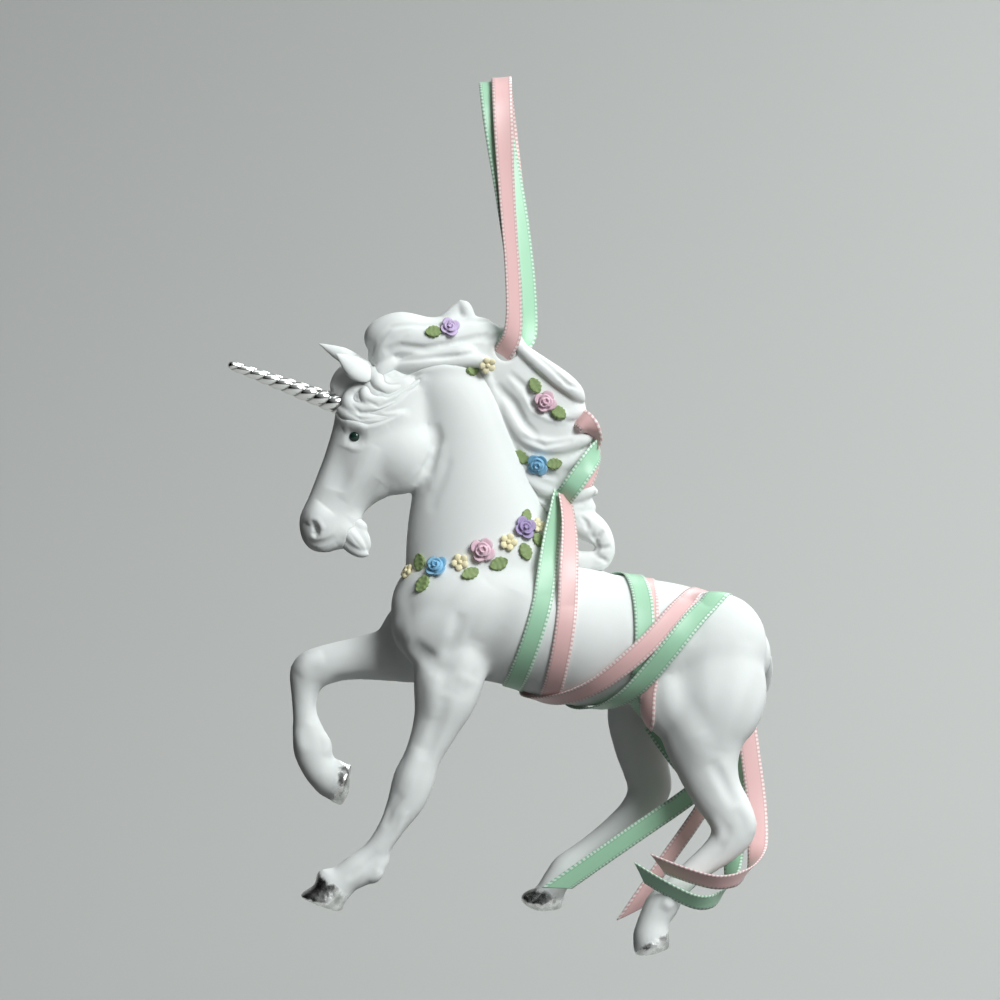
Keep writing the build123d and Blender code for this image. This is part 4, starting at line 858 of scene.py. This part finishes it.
def satin(name, colour, shade, edge_colour):
    """A glossy satin with long threads, a dark line inside each edge and pale dotted loops along it."""
    material = bpy.data.materials.new(name)
    material.use_nodes = True
    tree = material.node_tree
    shader = tree.nodes["Principled BSDF"]
    chart = tree.nodes.new("ShaderNodeUVMap")
    chart.uv_map = "UVMap"
    split = tree.nodes.new("ShaderNodeSeparateXYZ")
    tree.links.new(chart.outputs["UV"], split.inputs["Vector"])

    def math_node(kind, a, b):
        node = tree.nodes.new("ShaderNodeMath")
        node.operation = kind
        for socket, value in zip(node.inputs, (a, b)):
            if isinstance(value, (int, float)):
                socket.default_value = value
            else:
                tree.links.new(value, socket)
        return node.outputs[0]

    def mixed(share, a, b):
        node = tree.nodes.new("ShaderNodeMix")
        node.data_type = "RGBA"
        tree.links.new(share, node.inputs["Factor"])
        for socket, value in ((node.inputs["A"], a), (node.inputs["B"], b)):
            if isinstance(value, tuple):
                socket.default_value = (*value, 1)
            else:
                tree.links.new(value, socket)
        return node.outputs["Result"]

    off_centre = math_node("ABSOLUTE", math_node("SUBTRACT", math_node("MULTIPLY", split.outputs["Y"], 2.0), 1.0), 0.0)
    threads = tree.nodes.new("ShaderNodeTexNoise")
    threads.inputs["Scale"].default_value = 1.0
    threads.inputs["Detail"].default_value = 4.0
    stretch = tree.nodes.new("ShaderNodeMapping")
    stretch.inputs["Scale"].default_value = (0.35, 60.0, 1.0)
    tree.links.new(chart.outputs["UV"], stretch.inputs["Vector"])
    tree.links.new(stretch.outputs["Vector"], threads.inputs["Vector"])
    beat = math_node("SINE", math_node("MULTIPLY", split.outputs["X"], 2 * math.pi / PICOT_PITCH_MM), 0.0)
    dots = math_node("GREATER_THAN", beat, -0.1)
    edge = math_node("MULTIPLY", math_node("GREATER_THAN", off_centre, 0.75), dots)
    line = math_node("GREATER_THAN", off_centre, 0.66)
    cloth = mixed(math_node("MULTIPLY", threads.outputs["Fac"], 0.55), colour, shade)
    lined = mixed(math_node("MULTIPLY", line, 0.32), cloth, tuple(0.55 * c for c in shade))
    tree.links.new(mixed(math_node("MULTIPLY", edge, 0.85), lined, edge_colour), shader.inputs["Base Color"])
    gloss = tree.nodes.new("ShaderNodeMapRange")
    gloss.inputs["To Min"].default_value = 0.30
    gloss.inputs["To Max"].default_value = 0.48
    tree.links.new(threads.outputs["Fac"], gloss.inputs["Value"])
    tree.links.new(gloss.outputs["Result"], shader.inputs["Roughness"])
    bump = tree.nodes.new("ShaderNodeBump")
    bump.inputs["Strength"].default_value = 0.25
    bump.inputs["Distance"].default_value = 0.03 * MM
    tree.links.new(threads.outputs["Fac"], bump.inputs["Height"])
    tree.links.new(bump.outputs["Normal"], shader.inputs["Normal"])
    shader.inputs["Sheen Weight"].default_value = 0.25
    shader.inputs["Sheen Roughness"].default_value = 0.4
    return material


satin_pink = satin("satin_pink", (0.83, 0.54, 0.53), (0.74, 0.42, 0.42), (0.86, 0.76, 0.74))
satin_green = satin("satin_green", (0.40, 0.67, 0.47), (0.28, 0.54, 0.35), (0.72, 0.84, 0.74))
satins = {"pink": satin_pink, "green": satin_green}


def route(points):
    """Points read from a smooth spline with the given control points."""
    curve = bpy.data.curves.new("route", "CURVE")
    curve.dimensions = "3D"
    curve.resolution_u = 32
    spline = curve.splines.new("NURBS")
    spline.points.add(len(points) - 1)
    for knot, place in zip(spline.points, points):
        knot.co = (*place, 1)
    spline.order_u = 3
    spline.use_endpoint_u = True
    holder = bpy.data.objects.new("route", curve)
    line = bpy.data.meshes.new_from_object(holder)
    read = [v.co.copy() for v in line.vertices]
    bpy.data.objects.remove(holder)
    bpy.data.curves.remove(curve)
    bpy.data.meshes.remove(line)
    return read


def evenly(read, sides):
    """Even steps along points that were read, with the direction across the ribbon at each step."""
    spots = np.array([tuple(p) for p in read])
    along = np.concatenate([[0], np.cumsum(np.linalg.norm(np.diff(spots, axis=0), axis=1))])
    count = int(along[-1] / STEP_LENGTH)
    steps = np.linspace(0, along[-1], count + 1)
    places = np.stack([np.interp(steps, along, spots[:, k]) for k in range(3)], axis=1)
    knots = np.interp(np.linspace(0, len(along) - 1, len(sides)), np.arange(len(along)), along)
    across = np.stack([np.interp(steps, knots, [s[k] for s in sides]) for k in range(3)], axis=1)
    tangents = np.gradient(places, axis=0)
    tangents /= np.linalg.norm(tangents, axis=1)[:, None]
    across -= tangents * np.sum(across * tangents, axis=1)[:, None]
    across /= np.linalg.norm(across, axis=1)[:, None]
    return places, across, tangents, along[-1]


def ribbon(name, read, sides, material, cut=0.0, lies_on=None):
    """A flat ribbon along points that were read. Its end is cut slantwise by so many widths, and it stays
    clear of the surface that it lies on."""
    places, across, tangents, length = evenly(read, sides)
    count = len(places) - 1
    columns = 8
    strip = bmesh.new()
    chart = strip.loops.layers.uv.new("UVMap")
    bmesh.ops.create_grid(strip, x_segments=count, y_segments=columns, size=1.0)
    for face in strip.faces:
        for corner in face.loops:
            spot = corner.vert.co
            corner[chart].uv = ((spot.x + 1) / 2 * length / MM, (spot.y + 1) / 2)
    for vert in strip.verts:
        step = round((vert.co.x + 1) / 2 * count)
        edge = vert.co.y
        normal = Vector(np.cross(tangents[step], across[step]))
        scallop = 0.02 * abs(math.sin(math.pi * step * STEP_LENGTH / (PICOT_PITCH_MM * MM))) if abs(edge) > 0.95 else 0.0
        slant = cut * RIBBON_WIDTH * edge * max(0.0, step / count * 6 - 5)
        vert.co = (
            Vector(places[step])
            + Vector(across[step]) * (RIBBON_WIDTH / 2 * edge * (0.98 + scallop))
            + normal * (0.06 * MM * (1 - edge * edge))
            + Vector(tangents[step]) * slant
        )
        if lies_on is not None:
            foot, out, _, _ = lies_on.find_nearest(vert.co)
            clear = (vert.co - foot).dot(out)
            if clear < RIBBON_CLEAR:
                vert.co += out * (RIBBON_CLEAR - clear)
    mesh = bpy.data.meshes.new(name)
    strip.to_mesh(mesh)
    strip.free()
    mesh.materials.append(material)
    mesh.polygons.foreach_set("use_smooth", [True] * len(mesh.polygons))
    piece = linked(name, mesh)
    weave = piece.modifiers.new("weave", "SOLIDIFY")
    weave.thickness = 0.18 * MM
    weave.offset = 0.0
    return piece, length


# Windings: each ribbon comes out of the mane at the shoulder, goes under the belly and over the back, and
# ends at the rump or in the groin. Rows give the place along the torso, the angle round it and the layer.
TORSO_RISE = (
    [0.0, 0.235, 0.393, 0.525, 0.657, 0.789, 0.894, 0.968, 1.0],
    [0.0, 0.0, -0.107, -0.186, -0.200, -0.236, -0.280, -0.300, -0.307],
)
WINDINGS = {
    "girth_ribbon_pink": (
        [(9.0, -3.0, -22.4), (9.6, -4.2, -25.0), (9.8, -6.0, -29.2), (9.6, -8.0, -33.2)],
        [(0.462, 66, 0), (0.451, 97, 0), (0.432, 132, 0), (0.418, 158, 0), (0.410, 180, 0), (0.424, 203, 0),
         (0.451, 225, 0), (0.486, 248, 0), (0.520, 270, 0), (0.562, 293, 0), (0.604, 315, 0), (0.645, 338, 0),
         (0.665, 360, 0), (0.671, 385, 0), (0.673, 410, 0), (0.673, 435, 0), (0.672, 460, 0), (0.672, 485, 0),
         (0.676, 508, 0)],
        [(23.0, -1.8, -55.9), (23.8, -0.3, -57.0)],
    ),
    "girth_ribbon_green": (
        [(8.4, -2.6, -22.2), (7.9, -3.8, -24.6), (7.0, -5.4, -29.0), (6.4, -7.4, -33.2)],
        [(0.398, 67, 0), (0.369, 103, 0), (0.338, 138, 0), (0.322, 162, 0), (0.319, 180, 0), (0.338, 203, 0),
         (0.378, 225, 1), (0.418, 248, 1), (0.459, 270, 1), (0.507, 293, 1), (0.553, 315, 1), (0.602, 338, 1),
         (0.633, 360, 1), (0.647, 385, 1), (0.658, 410, 1), (0.662, 435, 1), (0.660, 460, 1), (0.652, 485, 1),
         (0.648, 508, 1)],
        [(20.4, -2.8, -55.8), (22.0, -1.2, -57.2)],
    ),
    "flank_ribbon_pink": (
        [(6.6, 3.4, -23.7), (6.6, 5.2, -28.7), (6.5, 7.9, -33.3)],
        [(0.398, 293, 1), (0.388, 270, 1), (0.378, 248, 2), (0.370, 225, 2), (0.366, 203, 2), (0.372, 180, 2),
         (0.446, 155, 1), (0.525, 131, 2), (0.604, 109, 3), (0.683, 87, 3), (0.749, 59, 2), (0.790, 34, 0),
         (0.822, 8, 0), (0.835, -18, 0), (0.846, -45, 0), (0.852, -72, 0), (0.858, -98, 0), (0.866, -122, 0)],
        [(35.2, 3.9, -56.6), (37.6, 1.9, -57.6)],
    ),
    "flank_ribbon_green": (
        [(10.2, 3.4, -24.0), (10.1, 5.6, -28.7), (9.9, 8.6, -33.8)],
        [(0.468, 298, 2), (0.464, 275, 2), (0.462, 250, 2), (0.464, 225, 2), (0.474, 203, 1), (0.505, 180, 1),
         (0.572, 156, 2), (0.626, 135, 3), (0.680, 113, 3), (0.733, 89, 3), (0.785, 67, 2), (0.836, 47, 0),
         (0.874, 22, 0), (0.890, -4, 0), (0.900, -32, 0), (0.908, -60, 0), (0.912, -86, 0), (0.916, -106, 0)],
        [(36.8, 6.0, -53.4)],
    ),
}
LAYER_LIFT, LAYER_STEP = 0.28, 0.40
LEAD_TURN = [1.2, 0.9, 0.5, 0.15]
for name, (lead, rows, trail) in WINDINGS.items():
    colour = name.rsplit("_", 1)[1]
    spots, outs = [], []
    for along, angle, layer in rows:
        core = HANG @ Vector((58.8 * along - 17.8, 0, 21.7 * np.interp(along, *TORSO_RISE) - 40.6))
        way = HANG.to_3x3() @ Vector((0, -math.sin(math.radians(angle)), math.cos(math.radians(angle))))
        way.normalize()
        met, out, _, _ = body_tree.ray_cast(core + way * 21 * MM, -way)
        spots.append(met + out * (LAYER_LIFT + LAYER_STEP * layer) * MM)
        outs.append(out)
    spots = [HANG @ Vector(p) for p in lead] + spots + [HANG @ Vector(p) for p in trail]
    turned = [(outs[0] + Vector((turn, 0, 0))).normalized() for turn in LEAD_TURN[:len(lead)]]
    outs = turned + outs + [outs[-1]] * len(trail)
    steps = [b - a for a, b in zip([spots[0]] + spots[:-1], spots[1:] + [spots[-1]])]
    piece, length = ribbon(
        name + "_satin", route(spots), [step.cross(out).normalized() for step, out in zip(steps, outs)],
        satins[colour], lies_on=body_tree,
    )
    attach(piece, "figurine")
    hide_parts(name)

# Ribbon in the mane: it goes through slots between the locks and round the mane's rear edge.
MANE_RIBBONS = {
    "mane_ribbon_pink": (
        [(2.2, 2.8, -1.8), (6.0, 3.3, -6.2), (9.4, 2.6, -9.2), (11.0, -0.6, -10.4), (12.0, -3.0, -10.8),
         (13.4, -2.6, -12.6), (14.2, -0.4, -14.8), (14.2, 0.0, -17.0), (13.2, -1.2, -19.2), (11.8, -2.6, -21.0),
         (10.2, -1.4, -23.2)],
        [(0.7, 0, 0.7), (0.7, 0, 0.7), (0.7, 0, 0.7), (0.6, 0, 0.8), (0.6, 0.1, 0.8), (0.2, -0.7, 0.6),
         (-0.1, -0.9, 0.3), (-0.3, -0.9, 0.1), (-0.5, -0.8, 0.1), (-0.6, -0.5, 0.4), (-0.8, -0.2, 0.4)],
    ),
    "mane_ribbon_green": (
        [(2.2, 3.5, -1.8), (5.4, 4.0, -5.4), (9.7, 3.8, -9.5), (13.4, 2.6, -12.4), (14.8, -0.4, -14.6),
         (13.4, -3.3, -16.6), (11.4, -4.4, -19.4), (9.6, -4.4, -22.0), (8.8, -2.6, -23.0)],
        [(0.7, 0, 0.7), (0.7, 0, 0.7), (0.7, 0, 0.7), (0.5, -0.5, 0.7), (0, -0.7, 0.7), (-0.6, -0.3, 0.7),
         (-0.8, 0, 0.6), (-0.8, 0, 0.6), (-0.8, 0, 0.6)],
    ),
}
for name, (points, sides) in MANE_RIBBONS.items():
    colour = name.rsplit("_", 1)[1]
    piece, length = ribbon(
        name + "_satin", route([HANG @ Vector(p) for p in points]), [HANG.to_3x3() @ Vector(s) for s in sides],
        satins[colour],
    )
    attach(piece, "figurine")
    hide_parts(name)

# Free tails: the two ends that leave the rump curl forward round the near hind leg, and the two that
# leave the groin hang between the hind legs. Each is cut off slantwise.
RUMP_TAILS = {
    "rump_tail_pink": [
        (37.4, 2.2, -58.0), (38.0, 1.3, -63.0), (38.9, 0.2, -69.8), (39.1, -1.8, -76.0), (38.0, -5.8, -79.8),
        (35.0, -9.8, -81.4), (30.1, -11.0, -81.4), (23.1, -10.2, -78.6),
    ],
    "rump_tail_green": [
        (36.8, 5.6, -54.8), (36.4, 5.2, -60.0), (35.6, 2.6, -68.6), (35.4, -0.4, -77.5), (34.6, -4.0, -82.6),
        (31.6, -8.2, -85.0), (27.0, -9.6, -84.2), (20.3, -9.4, -80.0),
    ],
}
RUMP_SIDES = [
    (1.0, 0.0, 0.0), (1.0, 0.0, 0.0), (1.0, 0.0, 0.0), (1.0, -0.1, 0.1), (0.5, -0.7, 0.5),
    (0.1, -0.7, 0.75), (0.0, -0.7, 0.75), (-0.2, -0.6, 0.75),
]
INNER_TAILS = {
    "inner_tail_pink": [
        (24.4, 0.1, -57.7), (27.8, 0.1, -62.8), (30.5, 0.1, -67.4), (31.0, 0.1, -70.2), (28.8, 0.1, -73.6),
        (24.2, 0.1, -80.0), (19.2, 0.1, -87.4),
    ],
    "inner_tail_green": [
        (22.6, -0.9, -57.7), (25.7, -0.9, -62.3), (28.8, -0.9, -65.9), (29.8, -0.9, -67.9), (27.3, -0.9, -69.9),
        (20.8, -0.9, -74.3), (14.6, -0.9, -78.6), (7.9, -0.9, -83.3),
    ],
}
for group, carrier in [(RUMP_TAILS, "rump_tails"), (INNER_TAILS, "inner_tails")]:
    for name, points in group.items():
        satin_of = satin_pink if name.endswith("pink") else satin_green
        spots = [HANG @ Vector(p) for p in points]
        read = route(spots)
        if carrier == "rump_tails":
            sides = [HANG.to_3x3() @ Vector(s) for s in RUMP_SIDES]
        else:
            steps = [b - a for a, b in zip([spots[0]] + spots[:-1], spots[1:] + [spots[-1]])]
            lean = 0.8 if name.endswith("pink") else 0.3
            sides = [step.normalized().cross(Vector((0, 1, 0))) + Vector((0, lean, 0)) for step in steps]
        piece, length = ribbon(name + "_satin", read, sides, satin_of, cut=0.5 if carrier == "rump_tails" else -0.6)
        print(name, "length", round(length / MM, 2))
        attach(piece, carrier)
        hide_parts(name)

# Hanger: both ribbons run together through the hole in the mane, up its two sides and over the hook.
HANGERS = {
    "hanger_ribbon_pink": [
        (-0.7, -0.6, -42.0), (-0.1, -1.9, -41.2), (1.5, -3.0, -38.8), (2.0, -4.2, -30.0), (1.9, -6.6, -18.0),
        (2.2, -8.9, -7.0), (2.5, -6.6, 0.1), (2.5, 0.0, 1.1), (2.6, 6.6, 0.1), (2.9, 8.9, -7.0),
        (3.4, 6.6, -18.0), (3.9, 4.2, -30.0), (3.6, 3.0, -38.6), (2.4, 2.0, -41.2), (1.2, 0.6, -41.5),
    ],
    "hanger_ribbon_green": [
        (-0.6, -0.6, -41.5), (0.0, -1.5, -40.7), (1.6, -2.6, -38.4), (2.2, -3.8, -30.0), (1.5, -6.1, -18.0),
        (0.7, -8.3, -7.0), (0.5, -6.0, -0.4), (0.5, 0.0, 0.6), (1.2, 6.0, -0.4), (2.3, 8.3, -7.0),
        (3.6, 6.1, -18.0), (4.2, 3.8, -30.0), (3.9, 2.6, -38.2), (2.6, 1.7, -40.8), (1.2, 0.6, -41.1),
    ],
}
HANGER_SIDES = [
    (0.75, 0, -0.65), (0.8, 0.3, -0.5), (1, 0.9, -0.2), (1, 1.0, 0), (1, 0.7, 0), (1, 0.2, 0), (1, 0, 0), (1, 0, 0),
    (1, 0, 0), (1, 0.1, 0), (1, 0.4, 0), (1, 0.6, 0), (1, 0.6, 0), (1, 0.2, 0.2), (1, 0, 0),
]
for name, points in HANGERS.items():
    read = route([Vector(p) * MM for p in points])
    piece, length = ribbon(
        name + "_satin", read, HANGER_SIDES, satin_pink if name.endswith("pink") else satin_green
    )
    print(name, "length", round(length / MM, 2))
    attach(piece, "hanger")
    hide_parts(name)

# Stage: a pale floor that runs up into a backdrop, soft light from the upper right, and the camera.
SWEEP_FLOOR, SWEEP_BACK, SWEEP_RADIUS, SWEEP_HALF = -0.185, 0.30, 0.45, 2.5
sweep = bmesh.new()
bmesh.ops.create_grid(sweep, x_segments=2, y_segments=60, size=1.0)
for vert in sweep.verts:
    run = vert.co.y * SWEEP_HALF
    bend = min(max((run - SWEEP_BACK) / SWEEP_RADIUS, 0.0), math.pi / 2)
    past = max(run - SWEEP_BACK - SWEEP_RADIUS * math.pi / 2, 0.0)
    depth = min(run, SWEEP_BACK) + SWEEP_RADIUS * math.sin(bend)
    vert.co = Vector((vert.co.x * SWEEP_HALF, depth, SWEEP_FLOOR + SWEEP_RADIUS * (1 - math.cos(bend)) + past))
sweep_mesh = bpy.data.meshes.new("sweep")
sweep.to_mesh(sweep_mesh)
sweep.free()
sweep_mesh.polygons.foreach_set("use_smooth", [True] * len(sweep_mesh.polygons))
sweep_paint = bpy.data.materials.new("sweep_paint")
sweep_paint.use_nodes = True
paint = sweep_paint.node_tree
paint.nodes["Principled BSDF"].inputs["Roughness"].default_value = 0.95
path = paint.nodes.new("ShaderNodeLightPath")
seen = paint.nodes.new("ShaderNodeMath")
seen.operation = "MAXIMUM"
paint.links.new(path.outputs["Is Camera Ray"], seen.inputs[0])
paint.links.new(path.outputs["Is Glossy Ray"], seen.inputs[1])
through = paint.nodes.new("ShaderNodeMath")
through.operation = "MAXIMUM"
paint.links.new(seen.outputs[0], through.inputs[0])
paint.links.new(path.outputs["Is Transmission Ray"], through.inputs[1])
pale = paint.nodes.new("ShaderNodeMix")
pale.data_type = "RGBA"
pale.inputs["A"].default_value = (0.08, 0.08, 0.078, 1)
pale.inputs["B"].default_value = (0.50, 0.50, 0.488, 1)
paint.links.new(through.outputs[0], pale.inputs["Factor"])
paint.links.new(pale.outputs["Result"], paint.nodes["Principled BSDF"].inputs["Base Color"])
sweep_mesh.materials.append(sweep_paint)
linked("sweep", sweep_mesh)

world = bpy.data.worlds.new("studio")
world.use_nodes = True
sky = world.node_tree
where = sky.nodes.new("ShaderNodeTexCoord")
side_light = sky.nodes.new("ShaderNodeVectorMath")
side_light.operation = "DOT_PRODUCT"
side_light.inputs[1].default_value = (0.85, -0.10, 0.50)
sky.links.new(where.outputs["Generated"], side_light.inputs[0])
dim = sky.nodes.new("ShaderNodeMapRange")
dim.inputs["From Min"].default_value = 0.0
dim.inputs["From Max"].default_value = 1.0
dim.inputs["To Min"].default_value = 0.0
dim.inputs["To Max"].default_value = 0.55
sky.links.new(side_light.outputs["Value"], dim.inputs["Value"])
sky.links.new(dim.outputs["Result"], sky.nodes["Background"].inputs["Strength"])
sky.nodes["Background"].inputs["Color"].default_value = (0.97, 1.0, 1.0, 1)
bpy.context.scene.world = world

for name, place, size, power in [
    ("window", (0.48, -0.60, 0.40), 0.40, 8.4),
    ("far_window", (0.45, 0.60, 0.50), 0.50, 5.0),
    ("skylight", (0.35, -0.1, 0.9), 0.8, 2.4),
]:
    lamp = bpy.data.lights.new(name, "AREA")
    lamp.size = size
    lamp.energy = power
    lamp.color = (0.95, 1.0, 1.0)
    holder = bpy.data.objects.new(name, lamp)
    holder.location = place
    holder.rotation_euler = (Vector((0.0, 0.0, -0.08)) - Vector(place)).to_track_quat("-Z", "Y").to_euler()
    bpy.context.collection.objects.link(holder)

AIM = Vector((-2.7, 0, -64.3)) * MM
CAMERA_AWAY = 0.55
FRAME_WIDTH = 155.04 * MM
camera_lens = bpy.data.cameras.new("camera")
camera_lens.sensor_width = 36.0
camera_lens.lens = 36.0 * CAMERA_AWAY / FRAME_WIDTH
camera = bpy.data.objects.new("camera", camera_lens)
right = Vector((0.99705, 0, -0.07672))
up = Vector((0.07672, 0, 0.99705))
back = Vector((0, -1, 0))
turn = Matrix((right, up, back)).transposed().to_4x4()
camera.matrix_world = Matrix.Translation(AIM + back * CAMERA_AWAY) @ turn
bpy.context.collection.objects.link(camera)
bpy.context.scene.camera = camera
bpy.context.scene.view_settings.view_transform = "Standard"
